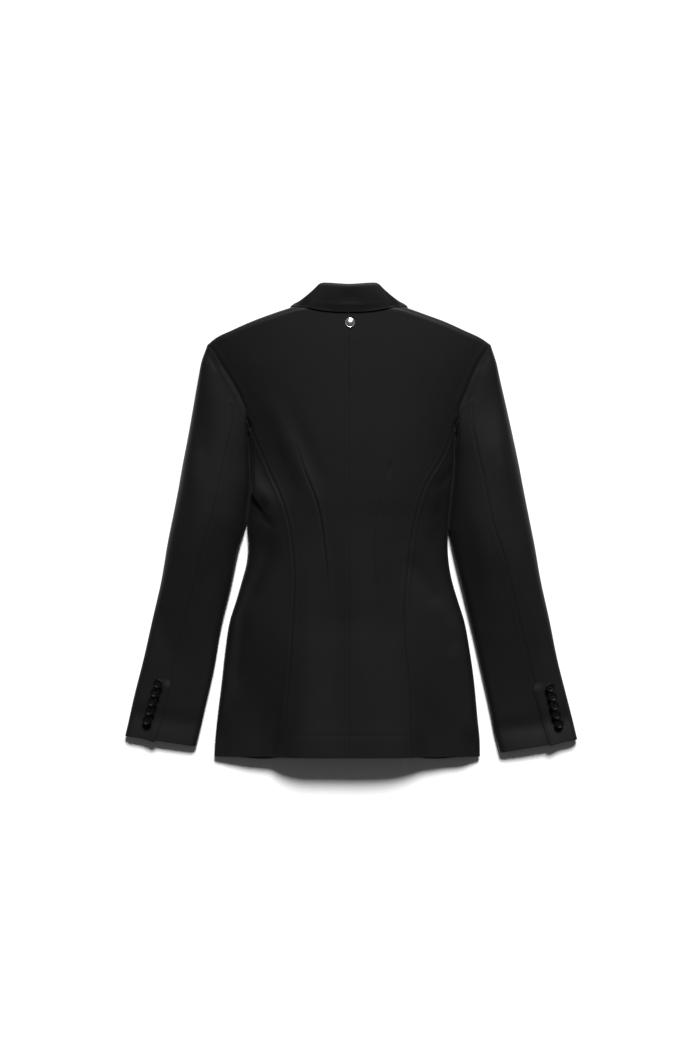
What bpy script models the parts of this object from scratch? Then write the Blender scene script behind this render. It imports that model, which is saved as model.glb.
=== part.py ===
"""A fitted tailored jacket, laid out flat with its back up.

Lengths are in millimetres until a mesh is made. +X is the wearer's right side,
+Y runs from the hem to the collar, and +Z is up from the surface it lies on.
"""

import bpy
import numpy as np
from mathutils import Vector
from mathutils.bvhtree import BVHTree

MM = 0.001
WALL = 1.5
COLLAR_WALL = 1.8
SEAM_GAP = 0.3
SLEEVE_SEAM_GAP = 0.5

CENTRE_X = -3.5
FOLD_HALF = 6.5
FOLD_RUN = 10.0
SHOULDER_RUN = 45.0
FRONT_SHOULDER_RUN = 30.0

# The arch over a laid-out hollow is (1 - s ** bend) ** lift, with s from the middle to the fold
BODY_ARCH_BEND = 2.6
SLEEVE_ARCH_BEND = 2.3
ARCH_LIFT = 0.8

SIDES = {"left": -1, "right": 1}

# The laid-out body: the two side folds and how high the back stands at each level
BODY_COLUMNS = ("y", "left", "right", "crown")
BODY = [
    (-363, -212, 199.5, 43),
    (-337, -210.5, 199, 43),
    (-306, -207.5, 196, 42),
    (-244, -200, 190, 42),
    (-198, -195, 183.5, 42),
    (-151, -187.5, 174.5, 42),
    (-121, -178, 165, 43),
    (-90, -169, 156, 44),
    (-66, -162.5, 151.5, 44),
    (-36, -159.5, 149.5, 45),
    (-12, -161, 150.5, 46),
    (9, -161, 152, 47),
    (33, -158.5, 154.5, 49),
    (56, -156, 157, 50),
    (88, -156.5, 160, 51),
    (127, -158.5, 162, 52),
    (156, -162, 165.5, 52),
    (168.5, -178, 180.5, 52),
    (188.5, -200, 202, 51),
    (218, -225, 225, 50),
    (244, -240, 239, 49),
    (274, -249, 248.5, 48),
    (343, -257, 254.5, 46),
]

# The princess seams on the back, from the hem to the armhole
PRINCESS_COLUMNS = ("y", "left", "right")
PRINCESS = [
    (-363, -108.5, 95.5),
    (-318, -104, 93.5),
    (-260, -98, 91),
    (-168, -91.5, 82),
    (-70, -88.5, 87.5),
    (4, -98, 98.5),
    (47, -112, 111),
    (70, -123, 122),
    (95, -134, 138),
    (114, -142, 147),
    (127, -148, 152),
    (144, -154, 158),
    (167.6, -161.2, 164.6),
]

# How far the side panel reaches under the front, from the side fold
UNDERLAP_COLUMNS = ("y", "reach")
UNDERLAP = [(-363, 62), (-50, 58), (14, 48), (74, 32), (134, 17), (160, 13)]

# The armhole over the back and under the front, from the shoulder point to the underarm
ARMHOLE_BACK = {
    "left": [(-222.2, 273.6), (-214.5, 265.9), (-201.4, 244.3), (-184.4, 218),
             (-169, 189), (-161.2, 167.6), (-162, 156)],
    "right": [(215.3, 273.6), (208.5, 265), (188.5, 230), (175.5, 198),
              (168, 181), (164.6, 167.6), (165.5, 156)],
}
ARMHOLE_FRONT = {
    "left": [(-162, 156), (-163.5, 170), (-168, 190), (-177, 212), (-193, 238), (-210, 260), (-222.2, 273.6)],
    "right": [(165.5, 156), (167, 170), (171, 190), (178, 212), (190, 238), (203, 260), (215.3, 273.6)],
}
PRINCESS_ON_ARMHOLE = 12.5
FRONT_SEAM_ON_ARMHOLE = 24.0

# How the armhole's outward direction turns level: near the shoulder point and near the underarm
SHOULDER_TURN = (2.0, 30.0)
UNDERARM_TURN = (3.0, 26.0)
SHOULDER_TURN_INSET = 6.0
STEEPEST = 3.0
SLOPE_STEP = 0.5

# The shoulder seam and back neck, from the shoulder point to the centre back
TOP_EDGE = {
    "left": [(-222.2, 273.6), (-210.6, 283), (-184.4, 295.6), (-155, 308.5), (-124, 320.2),
             (-104, 327), (-82, 333.4), (-60, 335.4), (-33, 336.6), (CENTRE_X, 337)],
    "right": [(215.3, 273.6), (202.6, 282.3), (174.3, 295.4), (146.5, 307.9), (116, 319.3),
              (97, 326.2), (75, 333.2), (53, 335.4), (26, 336.6), (CENTRE_X, 337)],
}
TOP_HEIGHT_COLUMNS = ("from_centre", "z")
TOP_HEIGHT = [(0, 42), (25, 41.5), (45, 38), (62, 32), (78, 26), (100, 22.5), (140, 21), (190, 19), (225, 17)]
NECK_HALF = 78.0
NECK_TURN = (50.0, NECK_HALF - 3)

# Rows of each sleeve from the armhole to the cuff: outer fold, inner fold, height, back seam
SLEEVE_COLUMNS = ("outer_x", "outer_y", "inner_x", "inner_y", "crown", "seam")
SLEEVES = {
    "left": [
        (-222.2, 273.6, -162, 156, 34, 0.60),
        (-231.5, 247.5, -161.6, 142, 34, 0.63),
        (-237.5, 216.5, -160.2, 127, 34, 0.65),
        (-244, 181, -158.7, 108, 33, 0.64),
        (-251.5, 139, -157.3, 83.5, 32, 0.61),
        (-261, 89.5, -157, 56, 31, 0.57),
        (-268.5, 47, -160, 27, 30.5, 0.55),
        (-275, 14, -162, -2, 29.5, 0.53),
        (-283.5, -28, -172.5, -40, 28, 0.51),
        (-294, -90, -185.5, -100.5, 26, 0.48),
        (-308, -151.5, -201, -164, 25, 0.455),
        (-322, -213.5, -212, -227, 24, 0.43),
        (-337.5, -275, -226.5, -290.5, 22, 0.42),
        (-345, -309, -234, -323, 20, 0.41),
        (-350.2, -331, -240, -347.5, 18, 0.395),
    ],
    "right": [
        (215.3, 273.6, 165.5, 156, 34, 0.60),
        (224, 247.5, 165.3, 142, 34, 0.63),
        (231, 216.5, 163.2, 127, 34, 0.65),
        (239.5, 181, 161.9, 108, 33, 0.63),
        (249, 139, 160.5, 83.5, 32, 0.60),
        (259.5, 89.5, 158, 56, 31, 0.55),
        (267, 50, 154.7, 27, 30.5, 0.505),
        (276.5, 2, 151.4, -14, 29, 0.455),
        (283.5, -33, 156.5, -42, 28, 0.42),
        (293.5, -90, 171, -102, 26, 0.39),
        (307, -151.5, 187, -167, 25, 0.385),
        (319.5, -213.5, 201, -229, 24, 0.37),
        (335, -275, 215.5, -294, 22, 0.36),
        (344.5, -312.5, 222.5, -329.5, 20, 0.347),
        (350.2, -336.5, 230, -357, 18, 0.34),
    ],
}
SLEEVE_EASE = (1.0, 0.62, 0.3, 0.1)
STOP_EASE = (1.0, 0.75, 0.5, 0.25, 0.1)
UNDER_SEAM = 0.30

# How much closer the points lie round a side fold than elsewhere, and over what width
BODY_CROWD = (3.0, 14.0)
SLEEVE_CROWD = (1.6, 16.0)

# The collar from the centre back round to its front end: neck seam, fold and free edge
COLLAR_COLUMNS = ("neck_x", "neck_y", "neck_z", "fold_x", "fold_y", "fold_z", "edge_x", "edge_y", "edge_z")
COLLAR = [
    (0, 338.8, 42.5, 0, 365.2, 46.5, 0, 322.2, 47),
    (16, 338.7, 42.5, 16, 366, 46.3, 17, 322.4, 47),
    (30, 338.6, 42, 31, 367.2, 45, 34, 323.8, 45.5),
    (42, 338.4, 40.5, 44, 366.8, 42, 51, 326.4, 42),
    (53, 338, 38, 54, 358.6, 38.5, 64, 329.6, 38.5),
    (62, 337.6, 35, 64, 350, 34.5, 76, 331.6, 34),
    (70, 337.2, 31, 74, 342.2, 29, 84, 332.4, 31),
    (76, 336.6, 24, 81, 338.2, 21, 88.5, 334, 24),
    (77, 334, 15, 81.5, 334, 11, 91, 332, 12),
    (74, 324, 8, 79, 323, 3, 94, 322, 2),
    (70, 306, 6, 75, 305, 0, 99, 303, 0),
    (67, 290, 5.5, 71, 289, 0, 104, 284, 0),
]
COLLAR_SWELL = 1.2
COLLAR_SWELL_BIAS = 0.8
COLLAR_CLEAR = 0.7
COLLAR_ON_BACK = 5
COLLAR_LINES = 5
STAND_LINES = 4
STAND_ROWS_KEPT = 9

# The fronts lap at the waist, and their lapels turn back from there to the neck
BREAK_Y = -30.0
LAPEL_START_Y = 34.0
FRONT_LAP = 15.0
LAP_FADE = (4.0, 30.0)
LAP_TOP_FADE = (14.0, 60.0)
ROLL_END_INSET = 1.0
FRONT_EDGE_FIRST = 0.02
LAPEL_LEVEL = 2.3
LAPEL_FADE = (8.0, 34.0)
LAPEL_LEAD = (26.0, 4.0)
LAPEL_SLOPE_FROM_Y = 150.0
LAPEL_SLOPE = 20.0
LAPEL_NOTCH_Y = 262.0
LAPEL_WIDTH_COLUMNS = ("y", "width")
LAPEL_WIDTH = [(LAPEL_START_Y, 3), (60, 16), (100, 36), (180, 64), (LAPEL_NOTCH_Y, 84), (300, 84), (335, 50)]
LAPEL_ROWS = 9
LAPEL_LINES = 4

# The under layer of the hem hangs lowest at this distance from the centre, over this half width
HEM_DROP = 4.0
HEM_DROP_FROM_CENTRE = 133.0
HEM_DROP_HALF = 38.0

CUFF_BUTTONS = {
    "left": [(-298.5, -250), (-302.6, -264), (-307, -278), (-310.8, -292), (-315, -306.3)],
    "right": [(307.3, -256), (310.8, -270), (313.9, -284), (317.2, -298), (321.2, -311.8)],
}
CUFF_BUTTON_RADIUS = 7.4
CUFF_BUTTON_THICK = 2.2
CUFF_BUTTON_TILT = np.radians(12)
CUFF_BUTTON_CLEAR = 0.35
BUTTON_SEGMENTS = 16
SEAT_SPOTS = 16
SEAT_INNER_RING = 0.6

STUD_PLACE = (-1.9, 306.0)
STUD_RADIUS = 7.6
STUD_THICK = 3.6
STUD_SEAT = 0.6
STUD_SEGMENTS = 24

FRONT_BUTTON_PLACE = (CENTRE_X, -40.0)
FRONT_BUTTON_RADIUS = 10.0
FRONT_BUTTON_THICK = 2.4
FRONT_BUTTON_CLEAR = 0.1
BUTTON_LEVEL = 3.0
BUTTON_FADE = (3.0, 34.0)

# A disc from its back to its face: shares of its radius and of its thickness
DISC_OUTLINE = [(0.9, 0.0), (1.0, 0.35), (0.86, 0.85)]
DOME_SHOULDER = (0.5, 1.1)
DOME_TOP = 1.2
DISH_BOTTOM = 0.8

# Soft troughs and ridges in the back: start, end, half width and height, troughs below nought
FOLDS = [
    (-121, -30, -166, -130, 14, -3.0),
    (-166, -130, -180, -260, 16, -2.5),
    (91, -55, 139, -130, 14, -2.5),
    (139, -130, 163, -200, 16, -2.0),
    (-157, 52, -132, 12, 10, -5.0),
    (153, 60, 136, 6, 9, -4.0),
    (-130, -370, -122, -300, 12, -7.0),
    (-160, -370, -150, -310, 15, 4.0),
    (128, -370, 122, -310, 12, -5.0),
    (160, -370, 152, -310, 15, 3.5),
]
FOLDS_CLEAR_OF_EDGE = 30.0
FOLD_FADE_IN = (-0.15, 0.25)
FOLD_FADE_OUT = (0.75, 1.15)

LOWER_ROWS = [-363, -340, -306, -268, -228, -188, -150, -117, -86, -56, -26, 4, 32, 58, 84, 110, 136]
UPPER_FRACTIONS = (0, 0.17, 0.34, 0.5, 0.64, 0.77, 0.88, 0.95, 1)
CENTRE_FIRST_RISE = 30.0
SHOULDER_COLUMNS = 7
NECK_COLUMNS = 4
SIDE_COLUMNS = 13
OVER_SEAM_STOP = 2
UNDER_SEAM_STOP = 4
DENSE = 160
HALF_PATH = 60
WHOLE_PATH = 300
CROWD_STEPS = 400
SHARP_DEGREES = 50

CLOTH = ((0.012, 0.012, 0.013, 1), 0.85, 0.0)
BUTTON_SATIN = ((0.014, 0.014, 0.015, 1), 0.35, 0.0)
SILVER = ((0.6, 0.6, 0.62, 1), 0.25, 1.0)


def column(table, names, name):
    """One named column of a table, as an array."""
    return np.array([row[names.index(name)] for row in table], float)


def smooth(x, knots, values):
    """A smooth curve through knots in rising order, level at no knot unless the values are."""
    slopes = np.gradient(values, knots)
    x = np.clip(x, knots[0], knots[-1])
    i = np.clip(np.searchsorted(knots, x) - 1, 0, len(knots) - 2)
    span = knots[i + 1] - knots[i]
    t = (x - knots[i]) / span
    from_start = (1 + 2 * t) * (1 - t) ** 2 * values[i] + t * (1 - t) ** 2 * span * slopes[i]
    from_end = t * t * (3 - 2 * t) * values[i + 1] - t * t * (1 - t) * span * slopes[i + 1]
    return from_start + from_end


def ease(x, start, stop):
    """0 before start, 1 after stop, smooth between."""
    t = np.clip((x - start) / (stop - start), 0, 1)
    return t * t * (3 - 2 * t)


def arc(t):
    """A quarter round: 0 at t = 0, steep there, and level at 1 from t = 1."""
    return np.sqrt(1 - (1 - np.clip(t, 0, 1)) ** 2)


def unit(vectors):
    """The vectors at length 1."""
    return vectors / np.maximum(np.linalg.norm(vectors, axis=-1, keepdims=True), 1e-9)


def along(points, count=DENSE):
    """A smooth path through the points, evenly spaced."""
    points = np.array(points, float)
    reach = np.concatenate([[0], np.cumsum(np.linalg.norm(np.diff(points, axis=0), axis=1))])
    steps = np.linspace(0, reach[-1], count)
    return np.stack([smooth(steps, reach, points[:, k]) for k in range(points.shape[1])], axis=-1)


def lengths(path):
    """How far each point of a path lies from its start, along it."""
    return np.concatenate([[0], np.cumsum(np.linalg.norm(np.diff(path, axis=0), axis=1))])


def at_lengths(path, values, wanted):
    """The rows of values at the wanted distances along the path."""
    reach = lengths(path)
    return np.stack([np.interp(wanted, reach, values[:, k]) for k in range(values.shape[1])], axis=-1)


def body_edge(y, side):
    """The side fold of the body at this level."""
    return smooth(y, column(BODY, BODY_COLUMNS, "y"), column(BODY, BODY_COLUMNS, side))


def princess_x(y, side):
    """The princess seam at this level."""
    return smooth(y, column(PRINCESS, PRINCESS_COLUMNS, "y"), column(PRINCESS, PRINCESS_COLUMNS, side))


def front_seam_x(y, side):
    """The seam between the side panel and the front, on the underside."""
    reach = smooth(y, column(UNDERLAP, UNDERLAP_COLUMNS, "y"), column(UNDERLAP, UNDERLAP_COLUMNS, "reach"))
    return body_edge(y, side) - SIDES[side] * reach


def top_y(x):
    """The shoulder and neck line."""
    outline = TOP_EDGE["left"] + TOP_EDGE["right"][-2::-1]
    knots = np.array(outline, float)
    return smooth(x, knots[:, 0], knots[:, 1])


def top_z(x):
    """How high the shoulder and neck line stands."""
    knots = column(TOP_HEIGHT, TOP_HEIGHT_COLUMNS, "from_centre")
    return smooth(np.abs(x - CENTRE_X), knots, column(TOP_HEIGHT, TOP_HEIGHT_COLUMNS, "z"))


def fold_height(x, y):
    """The soft troughs and ridges together."""
    total = np.zeros(np.broadcast(x, y).shape)
    for x0, y0, x1, y1, half_width, height in FOLDS:
        run = np.array([x1 - x0, y1 - y0], float)
        t = ((x - x0) * run[0] + (y - y0) * run[1]) / (run @ run)
        off = np.hypot(x - x0 - np.clip(t, 0, 1) * run[0], y - y0 - np.clip(t, 0, 1) * run[1])
        ends = ease(t, *FOLD_FADE_IN) * (1 - ease(t, *FOLD_FADE_OUT))
        total = total + height * ends * np.exp(-((off / half_width) ** 2))
    return total


def back_height(x, y):
    """The upper skin: a rounded fold at each side, a gentle arch between, and a rolled shoulder."""
    left = body_edge(y, "left")
    right = body_edge(y, "right")
    crown = smooth(y, column(BODY, BODY_COLUMNS, "y"), column(BODY, BODY_COLUMNS, "crown"))
    edge = np.maximum(np.minimum(x - left, right - x), 0)
    s = np.clip(np.abs((2 * x - left - right) / (right - left)), 0, 1)
    rise = (1 - s ** BODY_ARCH_BEND) ** ARCH_LIFT
    inside = ease(edge, 0, FOLDS_CLEAR_OF_EDGE)
    height = FOLD_HALF * (1 + arc(edge / FOLD_RUN)) + (crown - 2 * FOLD_HALF) * rise
    height = height + fold_height(x, y) * inside
    seam = top_z(x)
    return seam + (height - seam) * arc((top_y(x) - y) / SHOULDER_RUN)


def lapel_zone(x, y, side):
    """1 over the lapel of this side and 0 well away from it."""
    away = SIDES[side] * (x - roll_line_x(y, side))
    knots = column(LAPEL_WIDTH, LAPEL_WIDTH_COLUMNS, "y")
    width = smooth(y, knots, column(LAPEL_WIDTH, LAPEL_WIDTH_COLUMNS, "width"))
    across = 1 - ease(away, width + LAPEL_FADE[0], width + LAPEL_FADE[1])
    return across * ease(y, LAPEL_START_Y - LAPEL_LEAD[0], LAPEL_START_Y - LAPEL_LEAD[1])


def button_zone(x, y):
    """1 over the front button and 0 well away from it."""
    off = np.hypot(x - FRONT_BUTTON_PLACE[0], y - FRONT_BUTTON_PLACE[1])
    return 1 - ease(off, FRONT_BUTTON_RADIUS + BUTTON_FADE[0], FRONT_BUTTON_RADIUS + BUTTON_FADE[1])


def front_height(x, y, side):
    """The underside: flat on the surface, lifted over its lapel, its lap and the shoulder."""
    edge = np.maximum(SIDES[side] * (body_edge(y, side) - x), 0)
    fold = FOLD_HALF * (1 - arc(edge / FOLD_RUN))
    layers = np.maximum(LAPEL_LEVEL * lapel_zone(x, y, "right"), BUTTON_LEVEL * button_zone(x, y))
    if side == "left":
        inner_edge = 2 * FRONT_LAP
        lap = 1 - ease(CENTRE_X + FRONT_LAP - x, inner_edge + LAP_FADE[0], inner_edge + LAP_FADE[1])
        lap = lap * (1 - ease(y, LAPEL_START_Y + LAP_TOP_FADE[0], LAPEL_START_Y + LAP_TOP_FADE[1]))
        layers = np.maximum(LAPEL_LEVEL * lapel_zone(x, y, "left"), (layers + LAPEL_LEVEL) * lap)
    height = fold + layers
    seam = top_z(x)
    return seam + (height - seam) * arc((top_y(x) - y) / FRONT_SHOULDER_RUN)


def skin_normals(height, x, y, up):
    """Outward normals of a skin z = height(x, y), its slope limited at the folds."""
    step = SLOPE_STEP
    slope_x = np.clip((height(x + step, y) - height(x - step, y)) / (2 * step), -STEEPEST, STEEPEST)
    slope_y = np.clip((height(x, y + step) - height(x, y - step)) / (2 * step), -STEEPEST, STEEPEST)
    return unit(np.stack([-slope_x * up, -slope_y * up, np.full_like(slope_x, up)], axis=-1))


def grid_normals(points, inside, closed=False):
    """Normals of a grid of points, pointing away from a point inside each row."""
    if closed:
        across = np.roll(points, -1, axis=1) - np.roll(points, 1, axis=1)
    else:
        across = np.gradient(points, axis=1)
    normals = unit(np.cross(np.gradient(points, axis=0), across))
    facing = np.sum(normals * (points - inside[:, None]), axis=(1, 2))
    return normals * np.where(facing < 0, -1, 1)[:, None, None]


def roll_line_x(y, side):
    """The line where the lapel turns back, and the front edge below it."""
    start = CENTRE_X - SIDES[side] * FRONT_LAP
    stop = CENTRE_X + SIDES[side] * (NECK_HALF - ROLL_END_INSET)
    t = (np.maximum(y, BREAK_Y) - BREAK_Y) / (top_y(stop) - BREAK_Y)
    return start + (stop - start) * t


def shoulder_normal(x):
    """The outward direction along the shoulder seam, level with the surface."""
    slope = (top_y(x + 2) - top_y(x - 2)) / 4
    return unit(np.stack([-slope, np.ones_like(slope), np.zeros_like(slope)], axis=-1))


def armhole(side):
    """The armhole seam as a closed ring from the shoulder point over the back and round under the front."""
    sign = SIDES[side]
    over = along(ARMHOLE_BACK[side])
    under = along(ARMHOLE_FRONT[side])
    over = np.column_stack([over, back_height(over[:, 0], over[:, 1])])
    under = np.column_stack([under, front_height(under[:, 0], under[:, 1], side)])
    over[-1, 2] = under[0, 2] = FOLD_HALF
    over_normals = skin_normals(back_height, over[:, 0], over[:, 1], 1)
    under_normals = skin_normals(lambda x, y: front_height(x, y, side), under[:, 0], under[:, 1], -1)
    ring = np.vstack([over, under[1:]])
    normals = np.vstack([over_normals, under_normals[1:]])
    reach = lengths(ring)
    underarm = lengths(over)[-1]
    from_shoulder = np.minimum(reach, reach[-1] - reach)
    tip = shoulder_normal(np.array([over[0, 0] - sign * SHOULDER_TURN_INSET]))
    shoulder_share = (1 - ease(from_shoulder, *SHOULDER_TURN))[:, None]
    underarm_share = (1 - ease(np.abs(reach - underarm), *UNDERARM_TURN))[:, None]
    crotch = np.array([0.0, -1.0, 0.0])
    normals = normals * (1 - shoulder_share) * (1 - underarm_share)
    normals = unit(normals + tip * shoulder_share + crotch * underarm_share)
    tangents = unit(np.gradient(ring, axis=0))
    inward = unit(np.cross(normals, tangents))
    half_way = DENSE // 2
    if inward[half_way, 0] * sign > 0:
        inward = -inward
    return {"ring": ring, "normals": normals, "inward": inward, "reach": reach, "underarm": underarm}


def armhole_points(hole, wanted, toward_body):
    """Points and normals of the armhole at these distances along it, half a seam gap to one side."""
    ring = at_lengths(hole["ring"], hole["ring"], wanted)
    normals = unit(at_lengths(hole["ring"], hole["normals"], wanted))
    inward = unit(at_lengths(hole["ring"], hole["inward"], wanted))
    move = SEAM_GAP / 2 if toward_body else -SEAM_GAP / 2
    return ring + inward * move, normals


def ring_stops(hole):
    """Where the panels' points lie along the armhole: back and front from the side up, and side between."""
    half_gap = SEAM_GAP / 2
    fractions = np.array(UPPER_FRACTIONS)
    back_from = hole["underarm"] - PRINCESS_ON_ARMHOLE
    front_from = hole["underarm"] + FRONT_SEAM_ON_ARMHOLE
    back = (back_from - half_gap) * (1 - fractions) + half_gap * fractions
    side = np.linspace(back_from + half_gap, front_from - half_gap, SIDE_COLUMNS)
    front = (front_from + half_gap) * (1 - fractions) + (hole["reach"][-1] - half_gap) * fractions
    return back, side, front


def top_row_of(side, count):
    """The first points of the shoulder and neck line that the back and the front share."""
    top = along(TOP_EDGE[side], 4 * DENSE)
    reach = lengths(top)
    from_centre = np.abs(top[::-1, 0] - CENTRE_X)
    neck_end = np.interp(NECK_HALF - ROLL_END_INSET, from_centre, reach[::-1])
    shoulder = np.linspace(0, neck_end, SHOULDER_COLUMNS)
    neck = np.linspace(neck_end, reach[-1], NECK_COLUMNS)[1:]
    wanted = np.concatenate([shoulder, neck])[:count]
    return at_lengths(top, top, wanted), wanted / wanted[-1]


def top_row_normals(x):
    """Outward normals along the top row: level at the shoulder seam and upward along the back neck."""
    turned = ease(np.abs(x - CENTRE_X), *NECK_TURN)[:, None]
    return unit(shoulder_normal(x) * turned + np.array([0, 0, 1.0]) * (1 - turned)), turned[:, 0]


def spaced(path, count, centre, crowd, width):
    """Distances along a path for a count of points, closer together near the centre distance."""
    reach = lengths(path)
    dense = np.linspace(0, reach[-1], CROWD_STEPS)
    weight = 1 + crowd * np.exp(-(((dense - centre) / width) ** 2))
    share = np.concatenate([[0], np.cumsum((weight[1:] + weight[:-1]) / 2)])
    return np.interp(np.linspace(0, share[-1], count), share, dense)


def make_material(name, look):
    """A plain material of the piece's colour, roughness and metallic value."""
    colour, roughness, metallic = look
    material = bpy.data.materials.new(name)
    material.use_nodes = True
    shader = material.node_tree.nodes["Principled BSDF"]
    shader.inputs["Base Color"].default_value = colour
    shader.inputs["Roughness"].default_value = roughness
    shader.inputs["Metallic"].default_value = metallic
    return material


def make_object(name, vertices, faces, look):
    """A closed object from points in millimetres, turned so that its faces point out."""
    vertices = np.asarray(vertices, float)
    triangles = np.array([(f[0], f[k], f[k + 1]) for f in faces for k in range(1, len(f) - 1)])
    a, b, c = (vertices[triangles[:, k]] for k in range(3))
    if np.sum(a * np.cross(b, c)) < 0:
        faces = [tuple(reversed(face)) for face in faces]
    mesh = bpy.data.meshes.new(name)
    mesh.from_pydata((vertices * MM).tolist(), [], faces)
    mesh.materials.append(make_material(name + "_finish", look))
    mesh.shade_smooth()
    mesh.set_sharp_from_angle(angle=np.radians(SHARP_DEGREES))
    piece = bpy.data.objects.new(name, mesh)
    bpy.context.scene.collection.objects.link(piece)
    return piece


def make_cloth(name, outer, normals, wall=WALL):
    """A panel: a grid of outer points, the same grid moved in by the wall, and an edge all round."""
    rows, columns = outer.shape[:2]
    inner = outer - normals * wall
    index = np.arange(rows * columns).reshape(rows, columns)
    back = index + rows * columns
    faces = []
    for i in range(rows - 1):
        for j in range(columns - 1):
            faces.append((index[i, j], index[i, j + 1], index[i + 1, j + 1], index[i + 1, j]))
            faces.append((back[i, j], back[i + 1, j], back[i + 1, j + 1], back[i, j + 1]))
    rim = list(index[0, :]) + list(index[1:, -1]) + list(index[-1, -2::-1]) + list(index[-2:0:-1, 0])
    shift = rows * columns
    for a, b in zip(rim, rim[1:] + rim[:1]):
        faces.append((b, a, a + shift, b + shift))
    faces = [tuple(int(v) for v in face) for face in faces]
    vertices = np.vstack([outer.reshape(-1, 3), inner.reshape(-1, 3)])
    return make_object(name, vertices, faces, CLOTH)


def make_back(side, hole):
    """A back panel: from the princess seam and armhole to the centre-back seam."""
    sign = SIDES[side]
    stops = ring_stops(hole)[0]
    ring, ring_normals = armhole_points(hole, stops, True)
    levels = np.array(LOWER_ROWS, float)
    seam_points = np.column_stack([princess_x(levels, side) - sign * SEAM_GAP / 2, levels])
    centre = CENTRE_X + sign * SEAM_GAP / 2
    first = LOWER_ROWS[-1] + CENTRE_FIRST_RISE
    last = TOP_EDGE[side][-1][1]
    centre_y = np.concatenate([levels, first + (last - first) * np.array(UPPER_FRACTIONS)])
    outer_points = np.vstack([seam_points, ring[:, :2]])
    centre_points = np.column_stack([np.full_like(centre_y, centre), centre_y])
    top_row, share = top_row_of(side, SHOULDER_COLUMNS + NECK_COLUMNS - 1)
    share = share[None, :, None]
    plan = outer_points[:, None] * (1 - share) + centre_points[:, None] * share
    top_row[-1, 0] = centre
    top_row[0] = ring[-1, :2]
    pull = np.zeros(len(plan))
    pull[len(levels):] = np.array(UPPER_FRACTIONS) ** 2
    plan = plan + pull[:, None, None] * (top_row - plan[-1])[None]
    x, y = plan[..., 0], plan[..., 1]
    outer = np.dstack([x, y, back_height(x, y)])
    normals = skin_normals(back_height, x, y, 1)
    normals[-1], turned = top_row_normals(x[-1])
    outer[-1, :, 2] += SEAM_GAP / 2 * turned
    outer[len(levels):, 0] = ring
    normals[len(levels):, 0] = ring_normals
    return make_cloth("back_" + side, outer, normals)


def make_side(side, hole):
    """A side panel: from the princess seam round the side fold and under to the front seam."""
    sign = SIDES[side]
    rows = []
    steps = np.linspace(0, 1, HALF_PATH)
    for level in map(float, LOWER_ROWS):
        edge = body_edge(level, side)
        seam = princess_x(level, side) + sign * SEAM_GAP / 2
        under = front_seam_x(level, side) + sign * SEAM_GAP / 2
        over_x = edge + (seam - edge) * (1 - steps) ** 2
        under_x = edge + (under - edge) * steps[1:] ** 2
        over_z = back_height(over_x, level)
        under_z = front_height(under_x, level, side)
        x = np.concatenate([over_x, under_x])
        path = np.column_stack([x, np.full_like(x, level), np.concatenate([over_z, under_z])])
        fold_at = lengths(path)[len(steps) - 1]
        rows.append(at_lengths(path, path, spaced(path, SIDE_COLUMNS, fold_at, *BODY_CROWD)))
    ring, ring_normals = armhole_points(hole, ring_stops(hole)[1], True)
    rows.append(ring)
    outer = np.array(rows)
    inside = outer.mean(axis=1) + np.array([-sign * 6.0, 0, 0])
    normals = grid_normals(outer, inside)
    normals[:-1, 0] = skin_normals(back_height, outer[:-1, 0, 0], outer[:-1, 0, 1], 1)
    normals[:-1, -1] = (0, 0, -1)
    normals[-1] = ring_normals
    outer[0, :, 1] -= hem_drop(outer[0, :, 0]) * (1 - ease(outer[0, :, 2], 1, FOLD_HALF * 2))
    return make_cloth("side_" + side, outer, normals)


def hem_drop(x):
    """How far the under layer of the hem hangs below the back's hem."""
    off = np.abs(x - CENTRE_X) - HEM_DROP_FROM_CENTRE
    return HEM_DROP * np.exp(-((off / HEM_DROP_HALF) ** 2))


def make_front(side, hole):
    """A front: from the side seam and armhole to the front edge and the lapel's roll line."""
    sign = SIDES[side]
    stops = ring_stops(hole)[2]
    ring, ring_normals = armhole_points(hole, stops, True)
    levels = np.array(LOWER_ROWS, float)
    seam_points = np.column_stack([front_seam_x(levels, side) - sign * SEAM_GAP / 2, levels])
    seam_points = np.vstack([seam_points, ring[:, :2]])
    below = levels[levels < BREAK_Y]
    above = len(seam_points) - len(below)
    top_row, share = top_row_of(side, SHOULDER_COLUMNS)
    neck_y = top_row[-1, 1]
    climb = np.linspace(FRONT_EDGE_FIRST, 1, above)
    edge_y = np.concatenate([below, BREAK_Y + (neck_y - BREAK_Y) * climb])
    edge_points = np.column_stack([roll_line_x(edge_y, side), edge_y])
    share = share[None, :, None]
    plan = seam_points[:, None] * (1 - share) + edge_points[:, None] * share
    top_row[0] = ring[-1, :2]
    pull = np.zeros(len(plan))
    pull[len(levels):] = np.array(UPPER_FRACTIONS) ** 2
    plan = plan + pull[:, None, None] * (top_row - plan[-1])[None]
    x, y = plan[..., 0], plan[..., 1]
    outer = np.dstack([x, y, front_height(x, y, side)])
    normals = skin_normals(lambda a, b: front_height(a, b, side), x, y, -1)
    normals[-1] = top_row_normals(x[-1])[0]
    outer[-1, :, 2] -= SEAM_GAP / 2
    normals[:len(levels), 0] = (0, 0, -1)
    outer[len(levels):, 0] = ring
    normals[len(levels):, 0] = ring_normals
    outer[0, :, 1] -= hem_drop(outer[0, :, 0])
    return make_cloth("front_" + side, outer, normals)


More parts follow.
